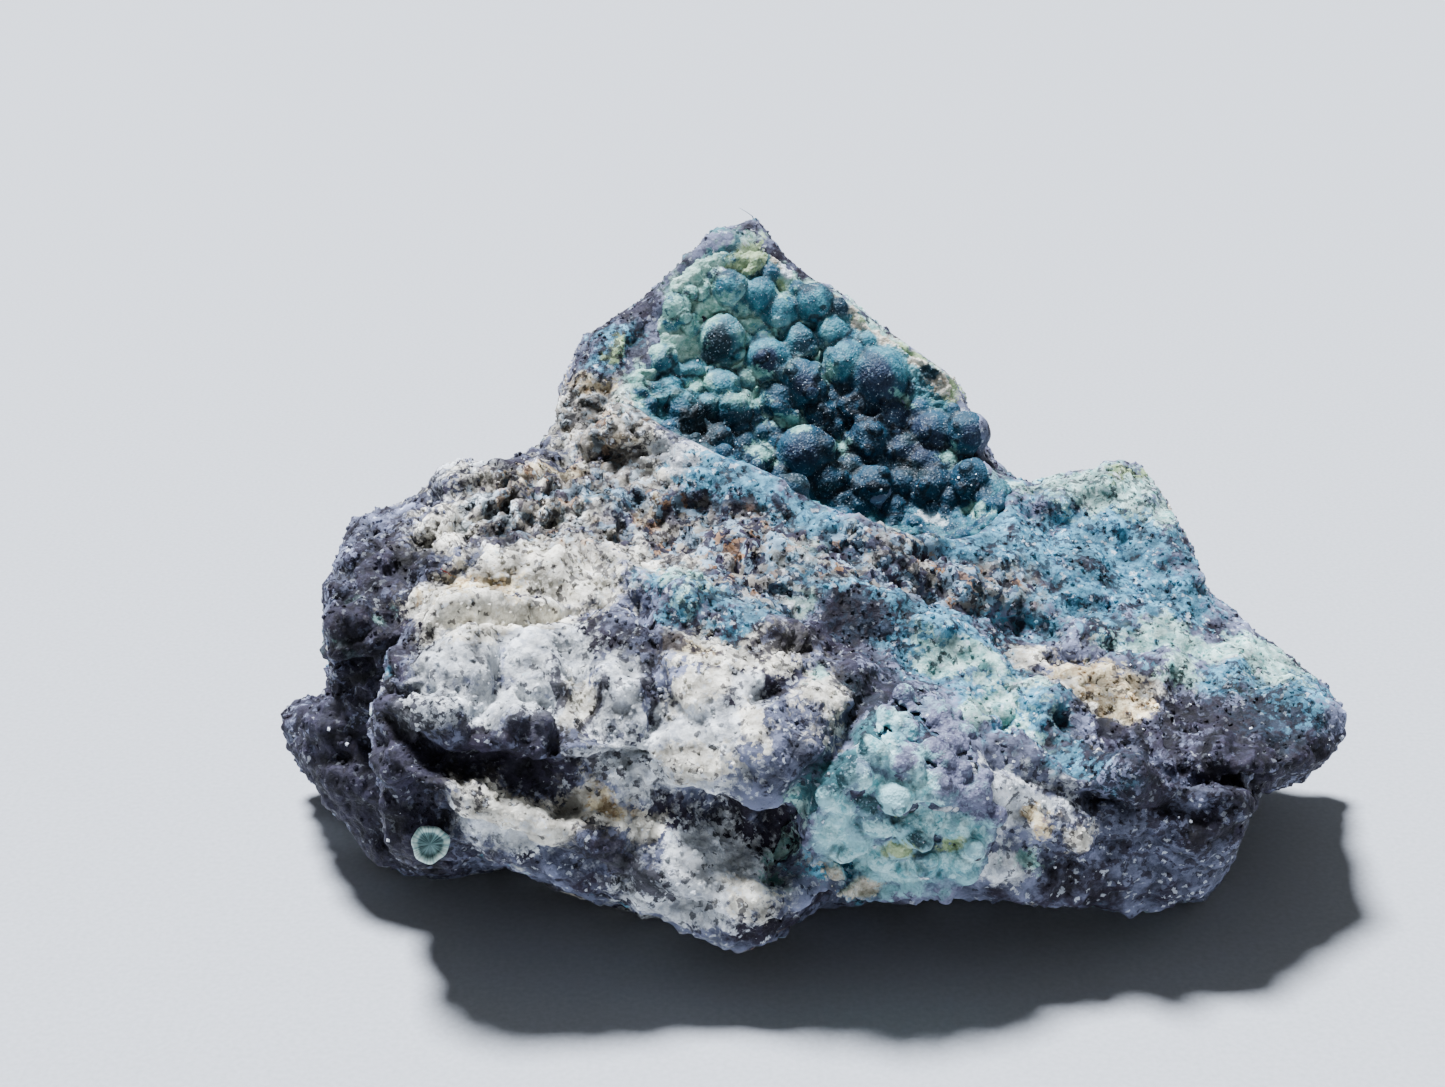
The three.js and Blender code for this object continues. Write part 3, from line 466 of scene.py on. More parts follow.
FRONT_TINTS = {
    "sea": [
        (9.5, -4.5, 2.5, 1.2, 0), (12, -9, 3.5, 1, 0), (8, 4.5, 1.5, 2.5, 20),
    ],
    "bare": [
        (12.4, 0.4, 2.4, 2.6, 0), (8.3, 1.2, 1, 1.6, 0), (15, -2.4, 2.4, 2, 0), (11, 5, 2.4, 1.2, 0),
        (7.7, 6.8, 1.4, 1.4, 0), (12.5, 3, 4, 1.5, -20), (16.5, -7, 1.5, 1.5, 0), (4.6, -1.9, 0.8, 1, 0),
        (3.6, 7.7, 1.5, 1, 0), (15.5, 0, 1.5, 2, 0), (16.5, -3, 1.5, 2, 0), (16.8, -9.5, 1.5, 2, 0),
        (13.5, -12, 2.5, 1.2, 0), (9, -12.3, 2, 0.8, 0), (0, -6, 1, 2, 0),
    ],
    "deep": [
        (2.4, 0.1, 1.5, 2.4, -20), (4.5, 3.7, 0.8, 2.4, 10), (9.4, -6.2, 1, 0.6, 0), (5.5, -2.7, 0.8, 0.7, 0),
        (2, 1.5, 1.5, 3.5, -30),
    ],
    "mint": [
        (5.5, -0.9, 1.2, 1, 0), (9.6, -1.4, 1.2, 1.5, 0), (3.2, -3.2, 1.3, 1, -30), (6.5, -5.1, 1.6, 1, 0),
        (8.9, -3.4, 1.2, 1, 30), (2.5, -5.7, 1.3, 1.3, 0), (11, -4.3, 1.5, 1.3, 0), (13.7, -5.7, 2, 1.3, 0),
        (7.3, 5.2, 0.8, 1, 0), (6.4, 2.8, 1, 1.6, 15), (3.7, 2.8, 0.7, 1.5, 0),
        (4.8, -8.1, 2.2, 1.2, 0), (8.2, -9.1, 1.8, 1.1, 0), (13, -8.5, 2, 1, 0),
    ],
    "lichen": [
        (8, -7.2, 1.5, 0.7, 0), (12.5, -6.8, 1.2, 0.7, 0),
    ],
    "cream": [
        (1.5, -10, 2, 1.5, 0), (5, -11, 1.5, 1, 0), (17.5, -10, 1.5, 1, 0),
    ],
}

# Thin raised webs of pale crust that part the balls in the upper left of the hollow.
HOLLOW_LACE = [
    [(-8.5, 42), (-7, 39.9), (-6, 38.4), (-5.3, 37.1), (-5.3, 35.7), (-5.6, 34.4)],
    [(-5.6, 34.4), (-3.9, 33.2), (-2, 34.2), (-1.4, 35.6)],
    [(-13, 34), (-10.5, 36.5), (-9.2, 38.5), (-8.2, 40.8)],
    [(-9.8, 31), (-7.8, 32), (-5.6, 32.4), (-3.9, 33.2)],
    [(-4.5, 43), (-5.2, 41.4), (-6, 40), (-7, 39.9)],
    [(-1.4, 35.6), (0.2, 36.2), (1.2, 36.6)],
    [(-9.5, 34.5), (-7.5, 34.8), (-5, 34.4)],
    [(-12, 32.5), (-9.8, 32.6), (-8, 33.6), (-7.5, 34.8)],
    [(1.2, 38.8), (1.2, 36.6), (0.4, 35)],
    [(-5.3, 38.5), (-3.2, 38.3), (-1.2, 38.4)],
]

# Where small balls crowd together in the hollow, as ovals.
HOLLOW_CROWDED = [
    (6, 25.5, 10, 3, -20), (-5, 27.5, 5, 2, -30), (9, 28, 4, 2, 0), (4, 31, 6, 2.5, -36),
    (-10, 32.5, 3, 1.5, 0),
]
FRONT_CROWDED = [(8, -3, 30, 30, 0)]

# Balls that are strewn over a crust, lot by lot: the number that says where, how many lie on a
# square centimetre there, how far apart, the radius of the smallest and the largest, and how finely
# each is made.
HOLLOW_LOTS = (
    ("hidden", 22.0, 1.3, 0.9, 1.7, 3),
    ("strew", 150.0, 0.5, 0.3, 0.8, 2),
)
FRONT_LOTS = (("strew", 50.0, 0.7, 0.4, 0.9, 2),)

# Crystals on each square centimetre of a piece, and the point that the piece's seen side faces.
CRYSTALS_ON = {
    "stone": (6.0, ABOVE),
    "hollow_crust": (190.0, HOLLOW_MIDDLE),
    "front_bubbles": (20.0, EYE),
}

# The broken ball: rings from the middle of its broken face over its rim to its back, each as shares of
# its radius across and towards the eye. Rays run over the rings up to the given one, and stand up or
# lie deep by a share of how far out they are. The middles of its face and of its back come last.
BROKEN_RINGS = [
    (0.12, 0.06), (0.28, 0.02), (0.45, -0.03), (0.58, -0.06), (0.66, 0.02), (0.72, 0.14), (0.82, 0.2),
    (0.92, 0.17), (1.0, 0.02), (0.97, -0.25), (0.85, -0.52), (0.62, -0.78), (0.34, -0.94),
]
BROKEN_RAYS = 90
LAST_RAY_RING = 4
RAY_LIFT = 0.18
FACE_MIDDLE = 0.07
BACK_MIDDLE = -1.0

# A needle that stands on the highest point, as steps from there, and a fibre of red lint on the left.
NEEDLE = [(0.1, 0, -0.3), (-0.1, 0, 0.25), (-0.6, 0, 0.6), (-1.2, 0, 0.95)]
RED_LINT = [(-28.9, 18.3), (-28.6, 18.1), (-28.4, 18.0), (-28.1, 17.7)]


def linear(colour):
    """An sRGB hex colour as the linear values that Blender works in."""
    shares = [int(colour[i : i + 2], 16) / 255 for i in (1, 3, 5)]
    return [v / 12.92 if v <= 0.04045 else ((v + 0.055) / 1.055) ** 2.4 for v in shares] + [1.0]


def add(tree, kind, inputs=None, **settings):
    """Adds a node with its settings. An input is a value, or the first output of another node."""
    node = tree.nodes.new(kind)
    for name, value in settings.items():
        setattr(node, name, value)
    for socket, value in (inputs or {}).items():
        if isinstance(value, bpy.types.Node):
            value = value.outputs[0]
        if isinstance(value, bpy.types.NodeSocket):
            tree.links.new(value, node.inputs[socket])
        else:
            node.inputs[socket].default_value = value
    return node


class SpecimenSizes(bpy.types.PropertyGroup):
    """Sizes that change how fine and how rough the specimen is."""

    stone_grid: bpy.props.FloatProperty(
        name="Stone grid",
        description="Spacing of the stone's points",
        default=0.36 * MM,
        unit="LENGTH",
    )
    crust_grid: bpy.props.FloatProperty(
        name="Crust grid",
        description="Spacing of the crusts' points",
        default=0.2 * MM,
        unit="LENGTH",
    )
    lump_height: bpy.props.FloatProperty(
        name="Lump height",
        description="Height of the stone's lumps",
        default=0.9 * MM,
        unit="LENGTH",
    )
    bed_step: bpy.props.FloatProperty(
        name="Bed step",
        description="Thickness of one bed of the stone",
        default=1.4 * MM,
        unit="LENGTH",
    )
    grain_largest: bpy.props.FloatProperty(
        name="Largest grain",
        description="Radius of the largest grain that stands out of the stone",
        default=0.26 * MM,
        unit="LENGTH",
    )
    grain_count: bpy.props.IntProperty(
        name="Grains",
        description="Grains on each square centimetre of stone, roughly",
        default=150,
    )


class SpecimenColours(bpy.types.PropertyGroup):
    """The main colours of the specimen."""

    stone: bpy.props.FloatVectorProperty(
        name="Stone",
        description="Bare grey-violet chert",
        subtype="COLOR",
        size=4,
        default=linear("#747a92"),
    )
    iron: bpy.props.FloatVectorProperty(
        name="Iron stain",
        description="Dark violet-brown iron stain",
        subtype="COLOR",
        size=4,
        default=linear("#231f2b"),
    )
    ball: bpy.props.FloatVectorProperty(
        name="Ball",
        description="Blue-green of the wavellite balls",
        subtype="COLOR",
        size=4,
        default=linear("#224b60"),
    )
    floor: bpy.props.FloatVectorProperty(
        name="Floor",
        description="Pale floor",
        subtype="COLOR",
        size=4,
        default=linear("#b6babf"),
    )


def link(piece):
    """Puts a new piece into the scene."""
    bpy.context.scene.collection.objects.link(piece)
    return piece


def twin(piece, name):
    """A new piece with a copy of another's mesh."""
    return link(bpy.data.objects.new(name, piece.data.copy()))


def mesh_of(bm, name):
    """Turns what was built into a mesh."""
    mesh = bpy.data.meshes.new(name)
    bm.to_mesh(mesh)
    bm.free()
    return mesh


def working_copy(node, name):
    """A copy of a frame node's mesh with its shared points made one."""
    bm = bmesh.new()
    bm.from_mesh(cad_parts[node].data)
    bmesh.ops.remove_doubles(bm, verts=bm.verts, dist=SAME_POINT)
    mesh = mesh_of(bm, name)
    mesh.materials.clear()
    return link(bpy.data.objects.new(name, mesh))


def settle(piece):
    """Turns a piece's modifiers into a plain mesh."""
    depsgraph = bpy.context.evaluated_depsgraph_get()
    shown = piece.evaluated_get(depsgraph)
    mesh = bpy.data.meshes.new_from_object(shown, preserve_all_data_layers=True, depsgraph=depsgraph)
    piece.modifiers.clear()
    old = piece.data
    piece.data = mesh
    bpy.data.meshes.remove(old)


def regrid(piece, grid, rounds):
    """Gives a piece an even grid of faces and rounds off the facets it had."""
    remesh = piece.modifiers.new("Grid", "REMESH")
    remesh.mode = "VOXEL"
    remesh.voxel_size = grid
    smooth = piece.modifiers.new("Soften", "SMOOTH")
    smooth.factor = 0.5
    smooth.iterations = rounds
    settle(piece)


def thin_out(piece, keep_fine):
    """Takes faces away until a piece has few enough, and fewest where it is to stay fine."""
    group = piece.vertex_groups.new(name="thin")
    for i, fine in enumerate(keep_fine):
        if fine < 1:
            group.add([i], 1.0 - float(fine), "REPLACE")
    triangles = sum(len(face.vertices) - 2 for face in piece.data.polygons)
    decimate = piece.modifiers.new("Thin", "DECIMATE")
    decimate.ratio = min(MOST_TRIANGLES / triangles, 1)
    decimate.use_collapse_triangulate = True
    decimate.vertex_group = group.name
    settle(piece)
    piece.vertex_groups.clear()


def read_back(mesh, name):
    """The numbers kept for a mesh's points under a name."""
    values = np.empty(len(mesh.vertices), np.float32)
    mesh.attributes[name].data.foreach_get("value", values)
    return values.astype(float)


def run_nodes(piece, tree, inputs):
    """Runs a node tree on a piece with the given inputs and keeps the result as a plain mesh."""
    modifier = piece.modifiers.new(tree.name, "NODES")
    modifier.node_group = tree
    for item in tree.interface.items_tree:
        if item.in_out == "INPUT" and item.name in inputs:
            modifier[item.identifier] = inputs[item.name]
    settle(piece)


def new_tree(name, **inputs):
    """A geometry tree with named inputs, given as the kind of socket of each."""
    tree = bpy.data.node_groups.new(name, "GeometryNodeTree")
    tree.interface.new_socket("Geometry", in_out="OUTPUT", socket_type="NodeSocketGeometry")
    tree.interface.new_socket("Geometry", in_out="INPUT", socket_type="NodeSocketGeometry")
    for label, kind in inputs.items():
        tree.interface.new_socket(label, in_out="INPUT", socket_type="NodeSocket" + kind)
    return tree, tree.nodes.new("NodeGroupInput"), tree.nodes.new("NodeGroupOutput")


def places_in(mesh, what="co"):
    """The points of a mesh, or their normals, as rows of three numbers."""
    values = np.empty(len(mesh.vertices) * 3, np.float32)
    if what == "co":
        mesh.vertices.foreach_get("co", values)
    else:
        mesh.vertex_normals.foreach_get("vector", values)
    return values.reshape(-1, 3).astype(float)


def keep(mesh, name, values):
    """Keeps one number for each point of a mesh, for its material and its node trees."""
    attribute = mesh.attributes.new(name, "FLOAT", "POINT")
    attribute.data.foreach_set("value", np.asarray(values, np.float32))


def front_places(points):
    """Where points lie in the front view: across and up, in millimetres, on the upright plane."""
    laid_out = points / MM + np.array(LAID_OUT_MIDDLE)
    share = -LAID_OUT_EYE.y / (laid_out[:, 1] - LAID_OUT_EYE.y)
    across = LAID_OUT_EYE.x + (laid_out[:, 0] - LAID_OUT_EYE.x) * share
    up = LAID_OUT_EYE.z + (laid_out[:, 2] - LAID_OUT_EYE.z) * share
    return np.stack([across, up], axis=1)


def sight(across, up):
    """The direction from the eye through a place in the front view."""
    return (Vector((across, 0.0, up)) - LAID_OUT_EYE).normalized()


def tree_of(piece):
    """A piece's faces, ready for lines of sight and for the search of what is nearest."""
    return BVHTree.FromObject(piece, bpy.context.evaluated_depsgraph_get())


def entered(tree, across, up):
    """The last place where a line from the eye goes into a solid."""
    direction = sight(across, up)
    start = EYE
    found = None
    while True:
        place, normal, _, _ = tree.ray_cast(start, direction)
        if place is None:
            return found
        if normal.dot(direction) < 0:
            found = place
        start = place + direction * PAST_PLACE * MM


def facing(mesh, target):
    """Which points of a mesh look towards a target."""
    towards = np.array(target) - places_in(mesh)
    return np.einsum("ij,ij->i", places_in(mesh, "normal"), towards) > 0


def seen_points(piece):
    """1 for each point of a piece that the eye sees, and 0 for the others."""
    tree = tree_of(piece)
    points = places_in(piece.data)
    normals = places_in(piece.data, "normal")
    seen = np.zeros(len(points))
    for i in np.flatnonzero(facing(piece.data, EYE)):
        place = Vector(points[i]) + Vector(normals[i]) * OFF_PIECE * MM
        if tree.ray_cast(place, (EYE - place).normalized())[0] is None:
            seen[i] = 1
    return seen


def spread(mesh, values, rounds):
    """Evens out numbers kept for a mesh's points over their neighbours."""
    ends = np.empty(len(mesh.edges) * 2, np.int32)
    mesh.edges.foreach_get("vertices", ends)
    a, b = ends.reshape(-1, 2).T
    count = len(mesh.vertices)
    neighbours = np.maximum(np.bincount(a, minlength=count) + np.bincount(b, minlength=count), 1)
    for _ in range(rounds):
        total = np.bincount(a, values[b], count) + np.bincount(b, values[a], count)
        values = total / neighbours
    return values


def seen_around(piece, rounds):
    """How much the eye sees around each point of a piece: 1 where it is half seen or more."""
    return np.clip(spread(piece.data, seen_points(piece), rounds) * 2, 0, 1)


def cloud(points, size, seed):
    """Smooth noise from about -1 to 1 at each point, with lumps of the given size."""
    away = Vector((seed * 7.3, seed * 3.1, seed * 5.7))
    return np.array([noise.noise(Vector(p) / size + away) for p in points])


def wandering(places, points, layers):
    """Places in the front view, shifted by layers of noise that belong to their points."""
    for size, distance, seed in layers:
        shift = [cloud(points, size * MM, seed), cloud(points, size * MM, seed + 1)]
        places = places + np.stack(shift, axis=1) * distance
    return places


def drifting(points, start, layers, seed):
    """A share from 0 to 1 for each point, which drifts around its start with layers of noise."""
    drift = sum(strength * cloud(points, size * MM, seed + first) for size, strength, first in layers)
    return np.clip(start + drift, 0, 1)


def oval_weight(places, ovals):
    """How deep places lie in any of some ovals: 1 in a middle, a half at an edge, then down to 0."""
    weight = np.zeros(len(places))
    for across, up, half_width, half_height, turn in ovals:
        cos, sin = math.cos(math.radians(turn)), math.sin(math.radians(turn))
        dx, dz = places[:, 0] - across, places[:, 1] - up
        along = (dx * cos + dz * sin) / half_width
        beside = (dz * cos - dx * sin) / half_height
        weight = np.maximum(weight, np.exp2(-(along**2) - beside**2))
    return weight


def line_distance(places, points):
    """How far places lie from a line of points, positive above it and negative below."""
    nearest = np.full(len(places), np.inf)
    for (ax, az), (bx, bz) in zip(points, points[1:]):
        ex, ez = bx - ax, bz - az
        wx, wz = places[:, 0] - ax, places[:, 1] - az
        share = np.clip((wx * ex + wz * ez) / (ex * ex + ez * ez), 0, 1)
        distance = np.hypot(wx - ex * share, wz - ez * share)
        distance = np.where(ex * wz - ez * wx < 0, -distance, distance)
        nearest = np.where(np.abs(distance) < np.abs(nearest), distance, nearest)
    return nearest


def stone_forms(places):
    """How far the stone's own lines, knobs and pits stand out at places in the front view, in mm."""
    out = np.zeros(len(places))
    for points, width, depth in STONE_LINES["groove"]:
        out -= depth * np.exp(-((line_distance(places, points) / width) ** 2))
    for points, width, height in STONE_LINES["ledge"]:
        share = line_distance(places, points) / width
        out += LEDGE_SCALE * height * share * np.exp(-(share**2))
    for forms, sign in ((LUMPS, 1), (PITS, -1)):
        for across, up, radius, height in forms:
            distance = np.hypot(places[:, 0] - across, places[:, 1] - up)
            out += sign * height * np.exp(-((distance / radius) ** 2))
    return out


def move_out(mesh, distances):
    """Moves each point of a mesh along its normal."""
    points = places_in(mesh) + places_in(mesh, "normal") * distances[:, None]
    points[:, 2] = np.maximum(points[:, 2], 0)
    mesh.vertices.foreach_set("co", points.astype(np.float32).ravel())
    mesh.update()


def grain_tones(tree, vector, size):
    """Random numbers for each grain of a given size, as red, green and blue. Fine noise breaks the
    edges of the grains."""
    pattern = {"Vector": vector, "Scale": 1 / size, "Detail": 3.0, "Roughness": 0.6}
    shift = add(tree, "ShaderNodeTexNoise", pattern)
    terms = {0: shift.outputs["Color"], 1: (2.2 * size, 2.2 * size, 2.2 * size), 2: vector}
    ruffled = add(tree, "ShaderNodeVectorMath", terms, operation="MULTIPLY_ADD")
    cells = add(tree, "ShaderNodeTexVoronoi", {"Vector": ruffled.outputs[0], "Scale": 1 / size})
    return add(tree, "ShaderNodeSeparateColor", {0: cells.outputs["Color"]})


def paint_layers(tree, base, layers, vector, grains):
    """Lays colours over a base, each where its kept number is high. Fine noise frays their edges and
    single grains break out of them."""
    pattern = {"Vector": vector, "Scale": 1 / (0.9 * MM), "Detail": 6.0, "Roughness": 0.75}
    mottle = add(tree, "ShaderNodeTexNoise", pattern)
    terms = {0: grains.outputs["Red"], 1: 0.22, 2: mottle}
    speckle = add(tree, "ShaderNodeMath", terms, operation="MULTIPLY_ADD")
    contrast = add(tree, "ShaderNodeMapRange", {"Value": speckle, "From Min": 0.45, "From Max": 0.78})
    for coat in layers:
        weight = add(tree, "ShaderNodeAttribute", attribute_name=coat["where"])
        pattern = {"Vector": vector, "Scale": 1 / coat["size"], "Detail": 6.0, "Roughness": 0.72}
        fray = add(tree, "ShaderNodeTexNoise", pattern)
        terms = {0: fray, 1: coat["fray"], 2: weight.outputs["Fac"]}
        frayed = add(tree, "ShaderNodeMath", terms, operation="MULTIPLY_ADD")
        terms = {0: grains.outputs["Green"], 1: coat["grit"], 2: frayed}
        gritty = add(tree, "ShaderNodeMath", terms, operation="MULTIPLY_ADD")
        low = coat["from"] + (coat["fray"] + coat["grit"]) * 0.5
        limits = {"Value": gritty, "From Min": low, "From Max": low + coat["soft"], "To Max": coat["most"]}
        share = add(tree, "ShaderNodeMapRange", limits, interpolation_type="SMOOTHSTEP")
        shades = {SHARE: contrast, UNDER: linear(coat["dark"]), OVER: linear(coat["light"])}
        colour = add(tree, "ShaderNodeMix", shades, data_type="RGBA")
        shades = {SHARE: share, UNDER: base, OVER: colour.outputs[MIXED]}
        base = add(tree, "ShaderNodeMix", shades, data_type="RGBA").outputs[MIXED]
    return base


def layer(where, dark, light, size, fray, grit, start, soft, most=1.0):
    """One colour of paint_layers: the number that says where it lies, its two shades, the size and
    the strength of its frayed edge, how much single grains break it up, where it sets in, how softly,
    and how much of it there is at most."""
    return {
        "where": where,
        "dark": dark,
        "light": light,
        "size": size * MM,
        "fray": fray,
        "grit": grit,
        "from": start,
        "soft": soft,
        "most": most,
    }


# The colours over the bare chert, from the lowest to the topmost.
STONE_LAYERS = (
    layer("bare", "#2e3142", "#676c80", 2.0, 0.7, 0.4, 0.34, 0.35),
    layer("chalk", "#a6acb3", "#eef2f2", 1.8, 1.0, 0.4, 0.3, 0.35),
    layer("cream", "#b9b3a3", "#fbf8ea", 1.6, 1.0, 0.4, 0.26, 0.32),
    layer("turquoise", "#1a4258", "#66a4bc", 1.8, 1.4, 0.45, 0.3, 0.35),
    layer("ochre", "#a08560", "#f8eac2", 1.4, 1.1, 0.5, 0.36, 0.35),
    layer("mint", "#6a9c98", "#c6e4da", 1.2, 1.1, 0.5, 0.34, 0.35),
    layer("lichen", "#637c5a", "#a8bd90", 1.2, 1.1, 0.5, 0.42, 0.35),
    layer("teal", "#1f444e", "#4a7c82", 1.4, 0.9, 0.3, 0.34, 0.35),
    # Umber is iron stain, and painted shade along grooves and on the left foot.
    layer("umber_and_shade", "#0b0911", "#2a2636", 1.5, 1.5, 0.6, 0.3, 0.35, 0.93),
)


def new_material(name):
    """A new material, its emptied tree, and the place on a piece that its patterns read."""
    material = bpy.data.materials.new(name)
    material.use_nodes = True
    tree = material.node_tree
    tree.nodes.clear()
    return material, tree, add(tree, "ShaderNodeTexCoord").outputs["Object"]


def gravel_colour(tree, vector):
    """Each small lump of gravel has a colour of its own: brown or beige, or bluish, and a few rusty."""
    lumps = grain_tones(tree, vector, 0.75 * MM)
    limits = {"Value": lumps.outputs["Red"], "From Min": 0.48, "From Max": 0.66}
    share = add(tree, "ShaderNodeMapRange", limits)
    shades = {SHARE: share, UNDER: linear("#2a2433"), OVER: linear("#9f988b")}
    colour = add(tree, "ShaderNodeMix", shades, data_type="RGBA").outputs[MIXED]
    for tone, above, shade in (("Green", 0.72, "#8ba4b6"), ("Blue", 0.94, "#a67f5e")):
        share = add(tree, "ShaderNodeMath", {0: lumps.outputs[tone], 1: above}, operation="GREATER_THAN")
        shades = {SHARE: share, UNDER: colour, OVER: linear(shade)}
        colour = add(tree, "ShaderNodeMix", shades, data_type="RGBA").outputs[MIXED]
    return colour


def salt_and_pepper(tree, vector, colour):
    """Single grains are nearly black, most of all where the stone is peppered, and a few are white,
    fewer under the umber layer of iron stain and painted shade."""
    grains = grain_tones(tree, vector, 0.4 * MM)
    pepper = add(tree, "ShaderNodeAttribute", attribute_name="pepper")
    often = add(tree, "ShaderNodeMath", {0: pepper.outputs["Fac"], 1: 0.3, 2: 0.05}, operation="MULTIPLY_ADD")
    dark = add(tree, "ShaderNodeMath", {0: grains.outputs["Red"], 1: often}, operation="LESS_THAN")
    dark_share = add(tree, "ShaderNodeMath", {0: dark, 1: 0.78}, operation="MULTIPLY")
    shades = {SHARE: dark_share, UNDER: colour, OVER: linear("#1d1822")}
    colour = add(tree, "ShaderNodeMix", shades, data_type="RGBA").outputs[MIXED]
    fines = grain_tones(tree, vector, 0.26 * MM)
    white = add(tree, "ShaderNodeMath", {0: fines.outputs["Green"], 1: 0.955}, operation="GREATER_THAN")
    iron = add(tree, "ShaderNodeAttribute", attribute_name="umber_and_shade")
    clean = add(tree, "ShaderNodeMapRange", {"Value": iron.outputs["Fac"], "To Min": 0.5, "To Max": 0.08})
    white_share = add(tree, "ShaderNodeMath", {0: white, 1: clean}, operation="MULTIPLY")
    shades = {SHARE: white_share, UNDER: colour, OVER: linear("#dde5ee")}
    return add(tree, "ShaderNodeMix", shades, data_type="RGBA").outputs[MIXED]


def bed_streaks(tree, broad):
    """Beds a fraction of a millimetre thick, lighter and darker in turn, where the stone is bedded."""
    bed = add(tree, "ShaderNodeAttribute", attribute_name="bed")
    bent = {0: broad, 1: 3.0 * MM, 2: bed.outputs["Fac"]}
    bend = add(tree, "ShaderNodeMath", bent, operation="MULTIPLY_ADD")
    across = add(tree, "ShaderNodeMath", {0: bend, 1: 1 / (0.65 * MM)}, operation="MULTIPLY")
    pattern = {"W": across, "Scale": 1.0, "Detail": 3.0, "Roughness": 0.6}
    streaks = add(tree, "ShaderNodeTexNoise", pattern, noise_dimensions="1D")
    limits = {"Value": streaks, "From Min": 0.4, "From Max": 0.6, "To Min": 0.3, "To Max": 1.45}
    streak = add(tree, "ShaderNodeMapRange", limits)
    bedded = add(tree, "ShaderNodeAttribute", attribute_name="bedded")
    # A Mix node for plain numbers has them at 2 and 3.
    return add(tree, "ShaderNodeMix", {SHARE: bedded.outputs["Fac"], 2: 1.0, 3: streak})


def chert_material(colours):
    """Broken chert: dull, dark where iron stains it, with paler and blue-green coats that break off
    to the dark stone in small flecks, and fine grains that catch the light."""
    material, tree, vector = new_material("broken_chert")
    pattern = {"Vector": vector, "Scale": 1 / (5 * MM), "Detail": 6.0, "Roughness": 0.68}
    broad = add(tree, "ShaderNodeTexNoise", pattern)
    limits = {"Value": broad, "From Min": 0.4, "From Max": 0.58}
    stained = add(tree, "ShaderNodeMapRange", limits, interpolation_type="SMOOTHSTEP")
    shades = {SHARE: stained, UNDER: list(colours.iron), OVER: list(colours.stone)}
    base = add(tree, "ShaderNodeMix", shades, data_type="RGBA").outputs[MIXED]
    tones = grain_tones(tree, vector, 0.42 * MM)
    painted = paint_layers(tree, base, STONE_LAYERS, vector, tones)
    gravel = add(tree, "ShaderNodeAttribute", attribute_name="gravel")
    limits = {"Value": gravel.outputs["Fac"], "From Min": 0.25, "From Max": 0.6, "To Max": 0.66}
    lumpy = add(tree, "ShaderNodeMapRange", limits)
    shades = {SHARE: lumpy, UNDER: painted, OVER: gravel_colour(tree, vector)}
    painted = add(tree, "ShaderNodeMix", shades, data_type="RGBA").outputs[MIXED]
    painted = salt_and_pepper(tree, vector, painted)
    # Weather has bleached the stone in places a few millimetres wide.
    pattern = {"Vector": vector, "Scale": 1 / (3.2 * MM), "Detail": 4.0, "Roughness": 0.6}
    weather = add(tree, "ShaderNodeTexNoise", pattern)
    limits = {"Value": weather, "From Min": 0.36, "From Max": 0.64, "To Min": 0.7, "To Max": 1.18}
    bleach = add(tree, "ShaderNodeMapRange", limits)
    # Painted shade and light: hollows between the grains are painted darker and crests paler, as light would
    # fall on them.
    crest = add(tree, "ShaderNodeAttribute", attribute_name="crest")
    limits = {"Value": crest.outputs["Fac"], "From Min": 0.2, "From Max": 0.8, "To Min": 0.38, "To Max": 1.45}
    crest_shade = add(tree, "ShaderNodeMapRange", limits)
    for factor in (bed_streaks(tree, broad), bleach, crest_shade):
        shades = {SHARE: 1.0, UNDER: painted, OVER: factor}
        mixed = add(tree, "ShaderNodeMix", shades, data_type="RGBA", blend_type="MULTIPLY")
        painted = mixed.outputs[MIXED]
    pattern = {"Vector": vector, "Scale": 1 / (0.3 * MM), "Detail": 5.0, "Roughness": 0.7}
    sugar = add(tree, "ShaderNodeTexNoise", pattern)
    cells = add(tree, "ShaderNodeTexVoronoi", {"Vector": vector, "Scale": 1 / (0.55 * MM)})
    relief = {"Strength": 0.6, "Distance": 0.16 * MM, "Height": cells.outputs[0]}
    bump_cells = add(tree, "ShaderNodeBump", relief)
    relief = {"Strength": 0.9, "Distance": 0.16 * MM, "Height": sugar, "Normal": bump_cells}
    bump = add(tree, "ShaderNodeBump", relief)
    limits = {"Value": sugar, "From Min": 0.35, "From Max": 0.65, "To Min": 0.85, "To Max": 0.5}
    gloss = add(tree, "ShaderNodeMapRange", limits)
    look = {"Base Color": painted, "Roughness": gloss, "Specular IOR Level": 0.2, "Normal": bump}
    surface = add(tree, "ShaderNodeBsdfPrincipled", look)
    add(tree, "ShaderNodeOutputMaterial", {"Surface": surface})
    return material


# Layers of relief: a name, a pattern's node with its inputs and settings, and the number that says
# where it lies, if it isn't everywhere.
STONE_RELIEF = (
    ("Lump", "ShaderNodeTexNoise", {"Detail": 2.0, "Roughness": 0.5}, {}, None),
    ("Knob", "ShaderNodeTexVoronoi", {"Smoothness": 0.6}, {"feature": "SMOOTH_F1"}, None),
    ("Crag", "ShaderNodeTexNoise", {"Detail": 3.0, "Roughness": 0.6}, {}, None),
    ("Grain", "ShaderNodeTexNoise", {"Detail": 3.0, "Roughness": 0.65}, {}, None),
    ("Gravel", "ShaderNodeTexVoronoi", {"Smoothness": 0.3}, {"feature": "SMOOTH_F1"}, "gravel"),
)
NAP_RELIEF = (
    ("Lump", "ShaderNodeTexNoise", {"Detail": 2.0, "Roughness": 0.5}, {}, None),
    ("Knob", "ShaderNodeTexVoronoi", {"Smoothness": 0.4}, {"feature": "SMOOTH_F1"}, None),
)


